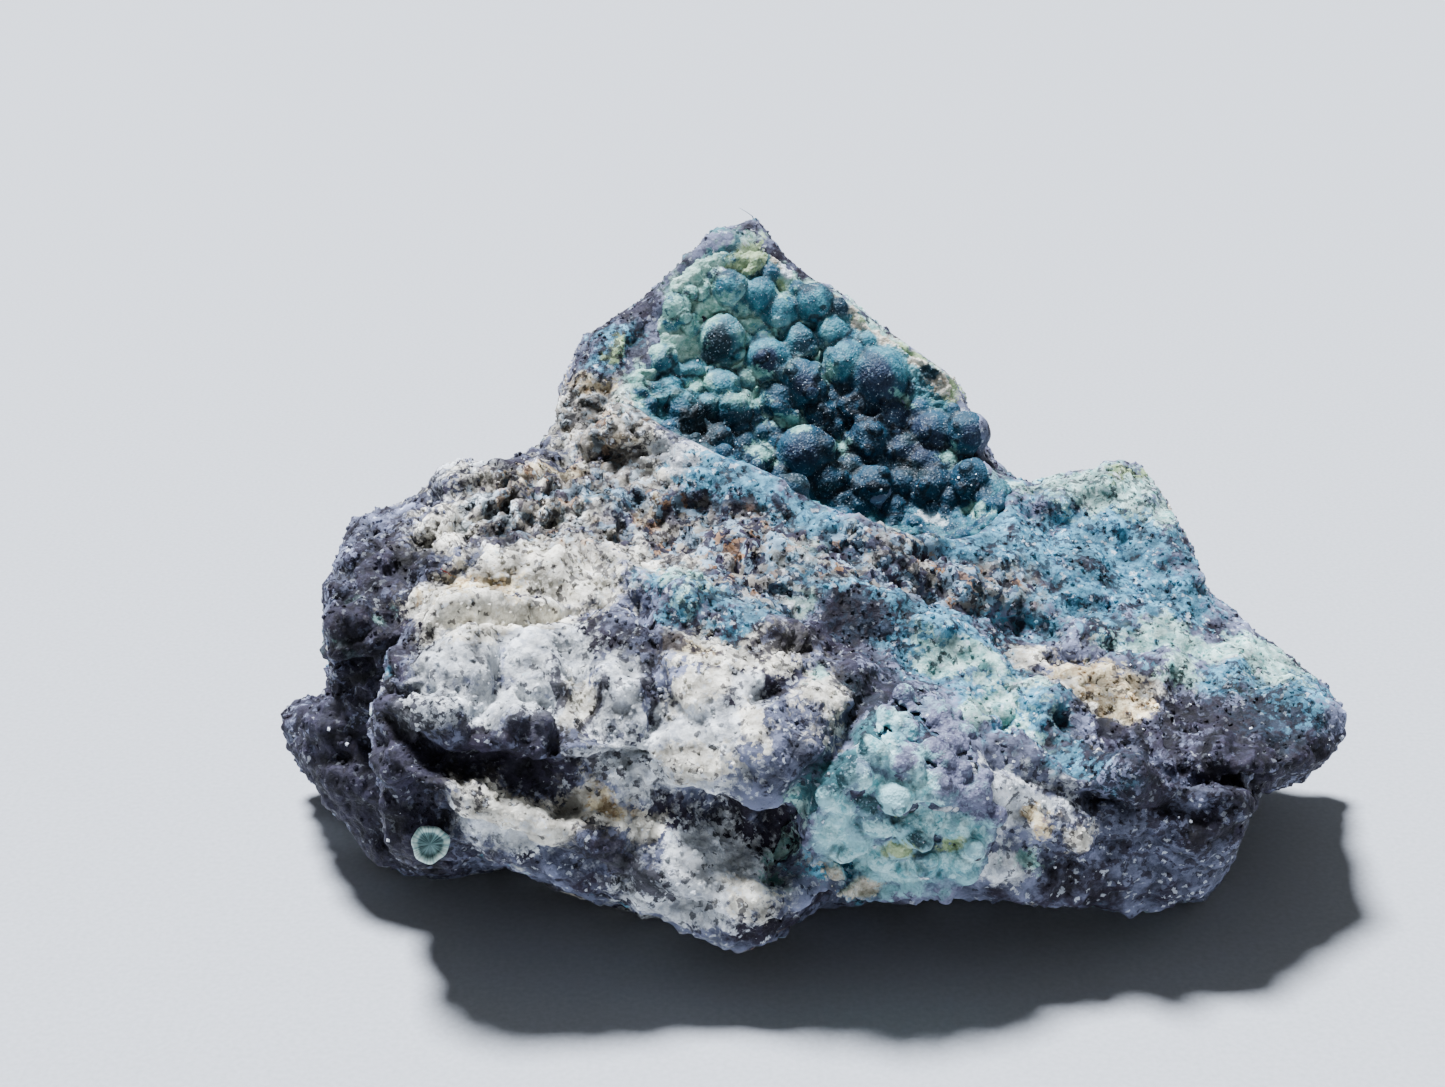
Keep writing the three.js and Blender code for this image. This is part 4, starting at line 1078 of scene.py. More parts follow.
def relief_tree(name, layers, bedded):
    """A tree that roughens a surface with layers of noise. Each layer has a size and a height. It
    keeps how far the fine layers stand out as crest, and leaves the flat foot as it is."""
    sockets = {}
    for label, *_ in layers:
        sockets[label + " size"] = "Float"
        sockets[label + " height"] = "Float"
    if bedded:
        sockets["Bed step"] = "Float"
        sockets["Bed height"] = "Float"
    tree, given, result = new_tree(name, **sockets, Material="Material")
    position = add(tree, "GeometryNodeInputPosition")
    height = None
    fine = None
    for label, kind, values, settings, where in layers:
        scale = add(tree, "ShaderNodeMath", {0: 1.0, 1: given.outputs[label + " size"]}, operation="DIVIDE")
        pattern = add(tree, kind, {"Vector": position, "Scale": scale, **values}, **settings)
        centred = add(tree, "ShaderNodeMath", {0: pattern, 1: 0.5}, operation="SUBTRACT")
        terms = {0: centred, 1: given.outputs[label + " height"]}
        part = add(tree, "ShaderNodeMath", terms, operation="MULTIPLY")
        if where:
            weight = add(tree, "GeometryNodeInputNamedAttribute", {"Name": where})
            part = add(tree, "ShaderNodeMath", {0: part, 1: weight}, operation="MULTIPLY")
        height = part if height is None else add(tree, "ShaderNodeMath", {0: height, 1: part})
        if label != "Lump":
            fine = part if fine is None else add(tree, "ShaderNodeMath", {0: fine, 1: part})
    if bedded:
        across = add(tree, "GeometryNodeInputNamedAttribute", {"Name": "bed"})
        drift = add(tree, "ShaderNodeTexNoise", {"Vector": position, "Scale": 1 / (7 * MM), "Detail": 2.0})
        count = add(tree, "ShaderNodeMath", {0: across, 1: given.outputs["Bed step"]}, operation="DIVIDE")
        bent = add(tree, "ShaderNodeMath", {0: drift, 1: 3.0, 2: count}, operation="MULTIPLY_ADD")
        step = add(tree, "ShaderNodeMath", {0: bent}, operation="FRACT")
        share = add(tree, "ShaderNodeMath", {0: step, 1: 0.5}, operation="SUBTRACT")
        bedding = add(tree, "GeometryNodeInputNamedAttribute", {"Name": "bedded"})
        strong = add(tree, "ShaderNodeMath", {0: share, 1: bedding}, operation="MULTIPLY")
        beds = add(tree, "ShaderNodeMath", {0: strong, 1: given.outputs["Bed height"]}, operation="MULTIPLY")
        height = add(tree, "ShaderNodeMath", {0: height, 1: beds})
        fine = add(tree, "ShaderNodeMath", {0: fine, 1: beds})
    rough = add(tree, "GeometryNodeInputNamedAttribute", {"Name": "rough"})
    height = add(tree, "ShaderNodeMath", {0: height, 1: rough}, operation="MULTIPLY")
    normal = add(tree, "GeometryNodeInputNormal")
    offset = add(tree, "ShaderNodeVectorMath", {0: normal, "Scale": height}, operation="SCALE")
    crest = add(tree, "ShaderNodeMapRange", {"Value": fine, "From Min": -0.45 * MM, "From Max": 0.45 * MM})
    number = {"Geometry": given.outputs["Geometry"], "Name": "crest", "Value": crest}
    kept = add(tree, "GeometryNodeStoreNamedAttribute", number)
    moved = add(tree, "GeometryNodeSetPosition", {"Geometry": kept, "Offset": offset})
    smooth = add(tree, "GeometryNodeSetShadeSmooth", {"Geometry": moved})
    named = add(tree, "GeometryNodeSetMaterial", {"Geometry": smooth, "Material": given.outputs["Material"]})
    whole = add(tree, "GeometryNodeRealizeInstances", {"Geometry": named})
    tree.links.new(whole.outputs[0], result.inputs["Geometry"])
    return tree


def scatter_tree(name, shape, settings):
    """A tree that strews small shapes over a surface, on the side that faces a given point. Where is
    the name of a number kept for the surface: the count holds where it is 1."""
    tree, given, result = new_tree(
        name,
        Where="String",
        Count="Float",
        Apart="Float",
        Smallest="Float",
        Largest="Float",
        Flattest="Float",
        Faces="Vector",
        Seed="Int",
        Material="Material",
    )
    position = add(tree, "GeometryNodeInputPosition")
    terms = {0: given.outputs["Faces"], 1: position}
    towards = add(tree, "ShaderNodeVectorMath", terms, operation="SUBTRACT")
    ahead = add(tree, "ShaderNodeVectorMath", {0: towards}, operation="NORMALIZE")
    normal = add(tree, "GeometryNodeInputNormal")
    slant = add(tree, "ShaderNodeVectorMath", {0: ahead, 1: normal}, operation="DOT_PRODUCT")
    shown = add(tree, "FunctionNodeCompare", {0: slant.outputs["Value"], 1: 0.1}, operation="GREATER_THAN")
    share = add(tree, "GeometryNodeInputNamedAttribute", {"Name": given.outputs["Where"]})
    # The count is for a square centimetre, and the node wants it for a square metre.
    density = add(tree, "ShaderNodeMath", {0: given.outputs["Count"], 1: 1e4}, operation="MULTIPLY")
    strewn = add(
        tree,
        "GeometryNodeDistributePointsOnFaces",
        {
            "Mesh": given.outputs["Geometry"],
            "Selection": shown,
            "Distance Min": given.outputs["Apart"],
            "Density Max": density,
            "Density Factor": share,
            "Seed": given.outputs["Seed"],
        },
        distribute_method="POISSON",
    )
    form = add(tree, shape, settings)
    # A Random Value node has a number's limits at 2 and 3 and gives it at output 1. A vector's are at 0
    # and 1, and it comes out at 0.
    limits = {2: given.outputs["Smallest"], 3: given.outputs["Largest"], "Seed": given.outputs["Seed"]}
    size = add(tree, "FunctionNodeRandomValue", limits, data_type="FLOAT")
    limits = {0: (0, 0, 0), 1: (math.tau, math.tau, math.tau), "Seed": given.outputs["Seed"]}
    turn = add(tree, "FunctionNodeRandomValue", limits, data_type="FLOAT_VECTOR")
    limits = {0: given.outputs["Flattest"], 1: (1.1, 1.1, 1.1), "Seed": given.outputs["Seed"]}
    stretch = add(tree, "FunctionNodeRandomValue", limits, data_type="FLOAT_VECTOR")
    terms = {0: stretch.outputs[0], "Scale": size.outputs[1]}
    sized = add(tree, "ShaderNodeVectorMath", terms, operation="SCALE")
    placed = add(
        tree,
        "GeometryNodeInstanceOnPoints",
        {
            "Points": strewn.outputs["Points"],
            "Instance": form.outputs["Mesh"],
            "Rotation": turn.outputs[0],
            "Scale": sized,
        },
    )
    own = add(tree, "FunctionNodeRandomValue", {"Seed": given.outputs["Seed"]}, data_type="FLOAT")
    number = {"Geometry": placed, "Name": "tone", "Value": own.outputs[1]}
    marked = add(tree, "GeometryNodeStoreNamedAttribute", number, domain="INSTANCE")
    whole = add(tree, "GeometryNodeRealizeInstances", {"Geometry": marked})
    named = add(tree, "GeometryNodeSetMaterial", {"Geometry": whole, "Material": given.outputs["Material"]})
    tree.links.new(named.outputs[0], result.inputs["Geometry"])
    return tree


# The colours of the hollow's balls, of the sheet between them, and of the crust low on the front.
BALL_LAYERS = (
    layer("sea", "#24586a", "#4e8c98", 0.9, 0.4, 0.0, 0.35, 0.4),
    layer("dusk", "#122034", "#25374f", 0.9, 0.5, 0.0, 0.3, 0.5),
    layer("blue", "#0b2535", "#1a4359", 0.9, 0.6, 0.0, 0.35, 0.4),
    layer("deep", "#0c1f28", "#1a343d", 0.9, 0.5, 0.0, 0.35, 0.4),
    layer("mint", "#5a9188", "#a0cfc2", 0.8, 0.8, 0.4, 0.62, 0.3),
)
SHEET_LAYERS = (
    layer("sea", "#43838e", "#86c0c6", 0.9, 0.6, 0.3, 0.3, 0.35),
    layer("blue", "#15384a", "#357082", 0.9, 0.6, 0.3, 0.3, 0.35),
    layer("mint", "#6ba091", "#c0e2d2", 0.8, 0.9, 0.5, 0.24, 0.35),
    layer("lichen", "#637c5a", "#a8bd90", 0.9, 0.9, 0.4, 0.3, 0.35),
    layer("cream", "#948a78", "#e6e0cc", 0.9, 0.9, 0.4, 0.3, 0.35),
    layer("white", "#a4bcc6", "#eef3f5", 0.7, 0.9, 0.5, 0.3, 0.35),
    layer("deep", "#0e222b", "#20404a", 0.9, 0.6, 0.2, 0.3, 0.35),
)
PALE_LAYERS = (
    layer("sea", "#4c8590", "#93c4cb", 0.9, 0.9, 0.4, 0.3, 0.35),
    layer("bare", "#3f3f55", "#7c8099", 1.4, 1.0, 0.5, 0.3, 0.35),
    layer("deep", "#122c33", "#2f575c", 1.0, 0.8, 0.3, 0.3, 0.35),
    layer("mint", "#5fa2a8", "#c6eeee", 0.9, 0.9, 0.4, 0.3, 0.35),
    layer("lichen", "#738a62", "#b9cc9c", 1.0, 1.0, 0.4, 0.34, 0.35),
    layer("cream", "#948a78", "#e6e0cc", 1.0, 1.0, 0.4, 0.3, 0.35),
)


def wavellite_material(name, balls, sheet, crease_shade):
    """Wavellite: balls of needles that end in a fine nap of crystal tips. It is dull from most sides,
    and single tips are painted pale as glints. Balls and the sheet between them are each given as a dark
    shade, a light shade and the layers of colour over them. The last value is the painted shade in creases."""
    material, tree, vector = new_material(name)
    pattern = {"Vector": vector, "Scale": 1 / (1.1 * MM), "Detail": 5.0, "Roughness": 0.65}
    cloudy = add(tree, "ShaderNodeTexNoise", pattern)
    share = add(tree, "ShaderNodeMapRange", {"Value": cloudy, "From Min": 0.38, "From Max": 0.62})
    tone = add(tree, "ShaderNodeAttribute", attribute_name="tone")
    toned = add(tree, "ShaderNodeMath", {0: share, 1: 0.35, 2: tone.outputs["Fac"]}, operation="MULTIPLY_ADD")
    grains = grain_tones(tree, vector, 0.4 * MM)
    painted = []
    for (dark, light, layers), shade in ((sheet, share), (balls, toned)):
        shades = {SHARE: shade, UNDER: dark, OVER: light}
        base = add(tree, "ShaderNodeMix", shades, data_type="RGBA").outputs[MIXED]
        painted.append(paint_layers(tree, base, layers, vector, grains))
    on_ball = add(tree, "ShaderNodeAttribute", attribute_name="ball")
    shades = {SHARE: on_ball.outputs["Fac"], UNDER: painted[0], OVER: painted[1]}
    both = add(tree, "ShaderNodeMix", shades, data_type="RGBA").outputs[MIXED]
    # Painted glints: a few crystal tips, chosen at random, are painted near white as if they caught the
    # light. They are drawn larger than real to show at all.
    tips = grain_tones(tree, vector, 0.13 * MM)
    bright = add(tree, "ShaderNodeMath", {0: tips.outputs["Red"], 1: 0.93}, operation="GREATER_THAN")
    painted_glint_share = add(tree, "ShaderNodeMath", {0: bright, 1: 0.24}, operation="MULTIPLY")
    shades = {SHARE: painted_glint_share, UNDER: both, OVER: linear("#b4d0e2")}
    painted_glints = add(tree, "ShaderNodeMix", shades, data_type="RGBA").outputs[MIXED]
    # Painted shade: creases between balls and hollows of the nap are painted darker, and crests paler.
    crest = add(tree, "ShaderNodeAttribute", attribute_name="crest")
    limits = {"Value": crest.outputs["Fac"], "From Min": 0.3, "From Max": 0.7, "To Min": 0.7, "To Max": 1.15}
    crest_shade = add(tree, "ShaderNodeMapRange", limits)
    deep = add(tree, "ShaderNodeAttribute", attribute_name="crease")
    terms = {0: deep.outputs["Fac"], 1: crease_shade, 2: crest_shade}
    shade = add(tree, "ShaderNodeMath", terms, operation="MULTIPLY_ADD")
    shades = {SHARE: 1.0, UNDER: painted_glints, OVER: shade}
    shaded = add(tree, "ShaderNodeMix", shades, data_type="RGBA", blend_type="MULTIPLY").outputs[MIXED]
    nap = add(tree, "ShaderNodeTexVoronoi", {"Vector": vector, "Scale": 1 / (0.22 * MM)})
    pattern = {"Vector": vector, "Scale": 1 / (0.12 * MM), "Detail": 3.0, "Roughness": 0.6}
    fine = add(tree, "ShaderNodeTexNoise", pattern)
    bump_nap = add(tree, "ShaderNodeBump", {"Strength": 0.8, "Distance": 0.08 * MM, "Height": nap.outputs[0]})
    relief = {"Strength": 0.8, "Distance": 0.06 * MM, "Height": fine, "Normal": bump_nap}
    bump = add(tree, "ShaderNodeBump", relief)
    limits = {"Value": fine, "From Min": 0.35, "From Max": 0.65, "To Min": 0.75, "To Max": 0.4}
    gloss = add(tree, "ShaderNodeMapRange", limits)
    look = {"Base Color": shaded, "Roughness": gloss, "Specular IOR Level": 0.24, "Normal": bump}
    surface = add(tree, "ShaderNodeBsdfPrincipled", look)
    add(tree, "ShaderNodeOutputMaterial", {"Surface": surface})
    return material


def spherule_material():
    """The inside of a broken wavellite ball: rays of needles, pale where they end at the rim."""
    material, tree, vector = new_material("rayed_wavellite")
    pattern = {"Vector": vector, "Scale": 1 / (0.25 * MM), "Detail": 4.0, "Roughness": 0.65}
    fine = add(tree, "ShaderNodeTexNoise", pattern)
    ray = add(tree, "ShaderNodeAttribute", attribute_name="ray")
    mixed = add(tree, "ShaderNodeMath", {0: fine, 1: 0.6, 2: ray.outputs["Fac"]}, operation="MULTIPLY_ADD")
    streak = add(tree, "ShaderNodeMapRange", {"Value": mixed, "From Min": 0.3, "From Max": 1.2})
    shades = {SHARE: streak, UNDER: linear("#1f3e46"), OVER: linear("#7fa8a6")}
    inside = add(tree, "ShaderNodeMix", shades, data_type="RGBA").outputs[MIXED]
    shades = {SHARE: streak, UNDER: linear("#6d9c98"), OVER: linear("#d2e6da")}
    rim = add(tree, "ShaderNodeMix", shades, data_type="RGBA").outputs[MIXED]
    out = add(tree, "ShaderNodeAttribute", attribute_name="out")
    frayed = add(tree, "ShaderNodeMath", {0: fine, 1: 0.12, 2: out.outputs["Fac"]}, operation="MULTIPLY_ADD")
    at_rim = add(tree, "ShaderNodeMapRange", {"Value": frayed, "From Min": 0.68, "From Max": 0.78})
    shades = {SHARE: at_rim, UNDER: inside, OVER: rim}
    both = add(tree, "ShaderNodeMix", shades, data_type="RGBA").outputs[MIXED]
    bump = add(tree, "ShaderNodeBump", {"Strength": 0.7, "Distance": 0.08 * MM, "Height": fine})
    surface = add(tree, "ShaderNodeBsdfPrincipled", {"Base Color": both, "Roughness": 0.45, "Normal": bump})
    add(tree, "ShaderNodeOutputMaterial", {"Surface": surface})
    return material


def plain_material(name, colour, roughness):
    """A material of one colour that fine noise breaks up."""
    material, tree, vector = new_material(name)
    grain = add(tree, "ShaderNodeTexNoise", {"Vector": vector, "Scale": 1 / (0.4 * MM), "Detail": 3.0})
    shades = {SHARE: grain, UNDER: [v * 0.7 for v in colour[:3]] + [1.0], OVER: list(colour)}
    mixed = add(tree, "ShaderNodeMix", shades, data_type="RGBA")
    look = {"Base Color": mixed.outputs[MIXED], "Roughness": roughness}
    surface = add(tree, "ShaderNodeBsdfPrincipled", look)
    add(tree, "ShaderNodeOutputMaterial", {"Surface": surface})
    return material


def finish_piece(piece, material, slot, *nodes):
    """Gives a finished piece its one material and hands it to the frame. It stands for the given
    nodes, if any."""
    mesh = piece.data
    mesh.polygons.foreach_set("material_index", [0] * len(mesh.polygons))
    mesh.materials.clear()
    mesh.materials.append(material)
    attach(piece, "root")
    if nodes:
        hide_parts(*nodes)


def ball_mesh(balls):
    """Round balls, each given by its middle and radius, as one mesh."""
    bm = bmesh.new()
    for middle, radius in balls:
        made = bmesh.ops.create_icosphere(bm, subdivisions=BALL_DETAIL, radius=radius)
        bmesh.ops.translate(bm, verts=made["verts"], vec=middle)
    return mesh_of(bm, "balls")


def seat_balls(node, places, sunk):
    """Balls on a node where the eye sees them: each one's middle and radius. A ball lies behind the
    place that is seen by a share of its radius."""
    tree = tree_of(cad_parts[node])
    seated = []
    for across, up, seen_radius in places:
        place = entered(tree, across, up)
        if place is None:
            continue
        # The radius is listed as it looks on the upright plane.
        radius = seen_radius * MM * (place.y - EYE.y) / -(LAID_OUT_EYE.y * MM)
        seated.append((place + sight(across, up) * radius * sunk, radius))
    return seated


def join_meshes(piece, mesh):
    """Adds a mesh to a piece."""
    bm = bmesh.new()
    bm.from_mesh(piece.data)
    bm.from_mesh(mesh)
    bm.to_mesh(piece.data)
    bm.free()
    bpy.data.meshes.remove(mesh)


def shift_sides(piece, target, front, behind):
    """Moves the points of a crust along their normals: the back of its sheet, which looks away from
    the target, by one distance, and the rest by another. The underside of a ball is no back."""
    mesh = piece.data
    tree = tree_of(piece)
    points = places_in(mesh)
    normals = places_in(mesh, "normal")
    outside = facing(mesh, target)
    for i in np.flatnonzero(~outside):
        start = Vector(points[i]) + Vector(normals[i]) * OFF_CRUST * MM
        if tree.ray_cast(start, Vector(normals[i]), SHEET_WITHIN * MM)[0] is not None:
            outside[i] = True
    move_out(mesh, np.where(outside, front, behind))


def strewn_distances(points, strewn, chosen, reach):
    """How far the chosen points lie from balls that were strewn, and the tone of the nearest ball."""
    away = np.full(len(points), np.inf)
    tone = np.zeros(len(points))
    for lot in strewn:
        tree = tree_of(lot)
        own = read_back(lot.data, "tone")
        corners = np.empty(len(lot.data.loops), np.int32)
        lot.data.loops.foreach_get("vertex_index", corners)
        first_corners = corners.reshape(-1, 3)[:, 0]
        for i in chosen:
            place, _, face, distance = tree.find_nearest(points[i], reach)
            if place is not None and distance < away[i]:
                away[i] = distance
                tone[i] = own[first_corners[face]]
    return away, tone


def ball_values(mesh, balls, strewn):
    """For each point of a crust: whether it is on a ball, the ball's own tone, and how deep it lies
    in a crease between two. Balls are given by middle and radius, and strewn ones as pieces."""
    points = places_in(mesh)
    nearest = np.full(len(points), np.inf)
    second = np.full(len(points), np.inf)
    tone = np.zeros(len(points))
    tones = np.random.default_rng(SEED_BALL_TONES).random(len(balls))
    for (middle, radius), own in zip(balls, tones):
        away = np.linalg.norm(points - np.array(middle), axis=1) - radius
        closer = away < nearest
        second = np.where(closer, nearest, np.minimum(second, away))
        tone = np.where(closer, own, tone)
        nearest = np.minimum(nearest, away)
    off_balls = np.flatnonzero(nearest > OWN_WITHIN * MM)
    strewn_away, strewn_tone = strewn_distances(points, strewn, off_balls, STREWN_WITHIN * MM)
    tone = np.where(np.isfinite(strewn_away), strewn_tone, tone)
    # A ball's look is whole up to 0.3 of the distance over which it fades, and gone at 1.3 of it.
    on_ball = np.clip(1.3 - np.minimum(nearest, strewn_away) / (BALL_FADES * MM), 0, 1)
    crease = np.clip(1 - np.minimum(second, strewn_away) / (CREASE_WIDTH * MM), 0, 1)
    return on_ball, tone, crease * (nearest < CREASE_WITHIN * MM)


def strew_lots(crust, lots, crowds, target):
    """Strews lots of balls over a crust's sheet, most where it is crowded or hidden from the eye: a
    piece for each lot."""
    sheet = crust.data
    seen = seen_around(crust, rounds=3)
    crowded = oval_weight(front_places(places_in(sheet)), crowds)
    keep(sheet, "hidden", 1 - seen)
    keep(sheet, "strew", np.maximum(1 - seen, 0.1 + 0.9 * crowded))
    pieces = []
    for seed, (where, count, apart, smallest, largest, detail) in enumerate(lots):
        lot = twin(crust, "strewn_balls")
        ball = {"Radius": 1.0, "Subdivisions": detail}
        settings = {
            "Where": where,
            "Count": count,
            "Apart": apart * MM,
            "Smallest": smallest * MM,
            "Largest": largest * MM,
            "Flattest": 0.85,
            "Faces": target,
            "Seed": seed + SEED_LOTS,
        }
        run_nodes(lot, scatter_tree("strewn_balls", "GeometryNodeMeshIcoSphere", ball), settings)
        pieces.append(lot)
    return pieces


def keep_tints(mesh, points, places, seen, web, tints):
    """Keeps how much of each colour of a crust lies at each of its points. Webs are mint."""
    for seed, (kind, ovals) in enumerate(tints.items()):
        elsewhere = drifting(points, CRUST_ELSEWHERE, CRUST_DRIFT, seed)
        if kind in CRUST_FRONT_ONLY:
            elsewhere *= 0
        weight = seen * oval_weight(places, ovals) + (1 - seen) * elsewhere
        keep(mesh, kind, np.maximum(weight, web * WEB_PALE) if kind == "mint" else weight)


def grow_crust(node, name, balls, lots, crowds, webs, target, tints, material, grid):
    """Makes a crust from a node's sheet, round balls at given places, lots of balls strewn over the
    sheet, and webs, which are lines of raised pale crust. The sheet's face looks at the target."""
    crust = working_copy(node, name)
    shift_sides(crust, target, 0, -BACK_DRAWN_IN * MM)
    strewn = strew_lots(crust, lots, crowds, target)
    join_meshes(crust, ball_mesh(balls))
    for lot in strewn:
        join_meshes(crust, lot.data.copy())
    regrid(crust, grid, rounds=3)
    mesh = crust.data
    points = places_in(mesh)
    places = wandering(front_places(points), points, CRUST_WANDER)
    seen = seen_around(crust, rounds=4)
    on_ball, tone, crease = ball_values(mesh, balls, strewn)
    for lot in strewn:
        bpy.data.objects.remove(lot)
    web = np.zeros(len(points))
    for line in webs:
        web = np.maximum(web, np.exp(-((line_distance(places, line) / WEB_WIDTH) ** 2)))
    web *= seen * (1 - WEB_LOST_ON_BALL * on_ball)
    on_ball = on_ball * (1 - BALL_LOST_IN_WEB * web)
    keep_tints(mesh, points, places, seen, web, tints)
    move_out(mesh, web * WEB_HEIGHT * MM)
    keep(mesh, "ball", on_ball)
    keep(mesh, "tone", tone)
    keep(mesh, "crease", crease)
    # The sheet is rougher than the balls, and most crystals stand on the balls.
    keep(mesh, "rough", 1.9 - 1.4 * on_ball)
    keep(mesh, "strew", 0.15 + 0.85 * on_ball)
    settings = {
        "Lump size": 0.9 * MM,
        "Lump height": 0.25 * MM,
        "Knob size": 0.4 * MM,
        "Knob height": -0.2 * MM,
        "Material": material,
    }
    run_nodes(crust, relief_tree("crystal_nap", NAP_RELIEF, bedded=False), settings)
    thin_out(crust, np.where(facing(crust.data, target), 1, 0))
    return crust


def fill_behind(stone, node, target):
    """Adds the form of a crust to a stone, a little below the crust's face and beyond its back."""
    filling = working_copy(node, "filling")
    shift_sides(filling, target, -FILLED_BELOW_FACE * MM, FILLED_BEYOND_BACK * MM)
    join_meshes(stone, filling.data.copy())
    bpy.data.objects.remove(filling)


def under_crusts(points):
    """1 for points that lie under or close to a crust, and 0 for the others."""
    covered = np.zeros(len(points))
    crusts = [tree_of(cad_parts[node]) for node in ("wavellite_crust", "front_crust")]
    for i, place in enumerate(points):
        if any(tree.find_nearest(place, COVERED_WITHIN * MM)[0] is not None for tree in crusts):
            covered[i] = 1
    return covered


def mark_stone(mesh, points, places, seen):
    """Keeps how much of each colour of the stone lies at each of its points."""
    frayed = wandering(places, points, STONE_WANDER)
    for seed, (kind, ovals) in enumerate(STONE_PATCHES.items()):
        elsewhere = drifting(points, ELSEWHERE[kind], STONE_DRIFT, seed)
        keep(mesh, kind, seen * oval_weight(frayed, ovals) + (1 - seen) * elsewhere)


class BuildStone(bpy.types.Operator):
    """Builds the broken stone over its solid"""

    bl_idname = "specimen.stone"
    bl_label = "Stone"

    def execute(self, context):
        sizes = context.scene.specimen_sizes
        stone = working_copy("matrix", "stone")
        fill_behind(stone, "wavellite_crust", HOLLOW_MIDDLE)
        fill_behind(stone, "front_crust", EYE)
        regrid(stone, sizes.stone_grid, rounds=8)
        mesh = stone.data
        points = places_in(mesh)
        places = front_places(points)
        seen = spread(mesh, seen_points(stone), rounds=5)
        bare = 1 - spread(mesh, under_crusts(points), rounds=2)
        foot = np.clip(points[:, 2] / (FOOT_HEIGHT * MM), 0, 1)
        move_out(mesh, stone_forms(places) * seen * bare * foot * FORM_STRETCH * MM)
        mark_stone(mesh, points, places, seen)
        left = points @ np.array(BEDS_LEFT)
        right = points @ np.array(BEDS_RIGHT)
        keep(mesh, "bed", np.where(points[:, 0] < 0, left, right))
        keep(mesh, "rough", bare * foot)
        keep(mesh, "seen", seen)
        keep(mesh, "strew", bare)
        material = chert_material(context.scene.specimen_colours)
        settings = {
            "Lump size": 5 * MM,
            "Lump height": sizes.lump_height,
            "Knob size": 1.5 * MM,
            "Knob height": -0.55 * MM,
            "Crag size": 1.5 * MM,
            "Crag height": 1.3 * MM,
            "Grain size": 0.6 * MM,
            "Grain height": 0.45 * MM,
            "Gravel size": 1.0 * MM,
            "Gravel height": -1.2 * MM,
            "Bed step": sizes.bed_step,
            "Bed height": 0.8 * MM,
            "Material": material,
        }
        run_nodes(stone, relief_tree("broken_stone", STONE_RELIEF, bedded=True), settings)
        # What the eye doesn't see may lose more of its faces.
        thin_out(stone, 0.4 + 0.6 * read_back(stone.data, "seen"))
        finish_piece(stone, material, "matrix_stone", "matrix")
        return {"FINISHED"}


class BuildHollowCrust(bpy.types.Operator):
    """Builds the crust of wavellite balls that lines the hollow"""

    bl_idname = "specimen.hollow_crust"
    bl_label = "Hollow crust"

    def execute(self, context):
        large = seat_balls("wavellite_crust", BALLS, IN_SOLID)
        balls = [(middle, radius * BALL_GROWTH) for middle, radius in large]
        balls += seat_balls("wavellite_crust", MORE_BALLS, ON_SHEET)
        light = list(context.scene.specimen_colours.ball)
        balls_look = (linear("#122c38"), light, BALL_LAYERS)
        sheet_look = (linear("#1a3f4a"), linear("#427a84"), SHEET_LAYERS)
        material = wavellite_material("wavellite_druse", balls_look, sheet_look, crease_shade=-0.7)
        crust = grow_crust(
            "wavellite_crust",
            "hollow_crust",
            balls,
            HOLLOW_LOTS,
            HOLLOW_CROWDED,
            HOLLOW_LACE,
            HOLLOW_MIDDLE,
            HOLLOW_TINTS,
            material,
            context.scene.specimen_sizes.crust_grid,
        )
        finish_piece(crust, material, "hollow_wavellite", "wavellite_crust")
        return {"FINISHED"}


class BuildFrontCrust(bpy.types.Operator):
    """Builds the pale crust low on the front"""

    bl_idname = "specimen.front_crust"
    bl_label = "Front crust"

    def execute(self, context):
        balls = seat_balls("front_crust", FRONT_BALLS, IN_SOLID)
        balls_look = (linear("#4a586e"), linear("#94c6cb"), PALE_LAYERS)
        sheet_look = (linear("#3f4a5f"), linear("#7f97a8"), PALE_LAYERS)
        material = wavellite_material("wavellite_pale_crust", balls_look, sheet_look, crease_shade=-0.5)
        crust = grow_crust(
            "front_crust",
            "front_bubbles",
            balls,
            FRONT_LOTS,
            FRONT_CROWDED,
            (),
            EYE,
            FRONT_TINTS,
            material,
            context.scene.specimen_sizes.crust_grid,
        )
        finish_piece(crust, material, "pale_wavellite", "front_crust")
        return {"FINISHED"}


class BuildGrains(bpy.types.Operator):
    """Strews angular grains over the stone"""

    bl_idname = "specimen.grains"
    bl_label = "Grains"

    def execute(self, context):
        sizes = context.scene.specimen_sizes
        stone = bpy.data.objects["stone"]
        grains = twin(stone, "stone_grains")
        strew = scatter_tree("strewn_grains", "GeometryNodeMeshIcoSphere", {"Radius": 1.0, "Subdivisions": 1})
        settings = {
            "Where": "strew",
            "Count": float(sizes.grain_count),
            "Apart": 0.12 * MM,
            "Smallest": 0.06 * MM,
            "Largest": sizes.grain_largest,
            "Flattest": 0.6,
            "Faces": ABOVE,
            "Seed": SEED_GRAINS,
            "Material": stone.data.materials[0],
        }
        run_nodes(grains, strew, settings)
        finish_piece(grains, stone.data.materials[0], "matrix_stone")
        return {"FINISHED"}


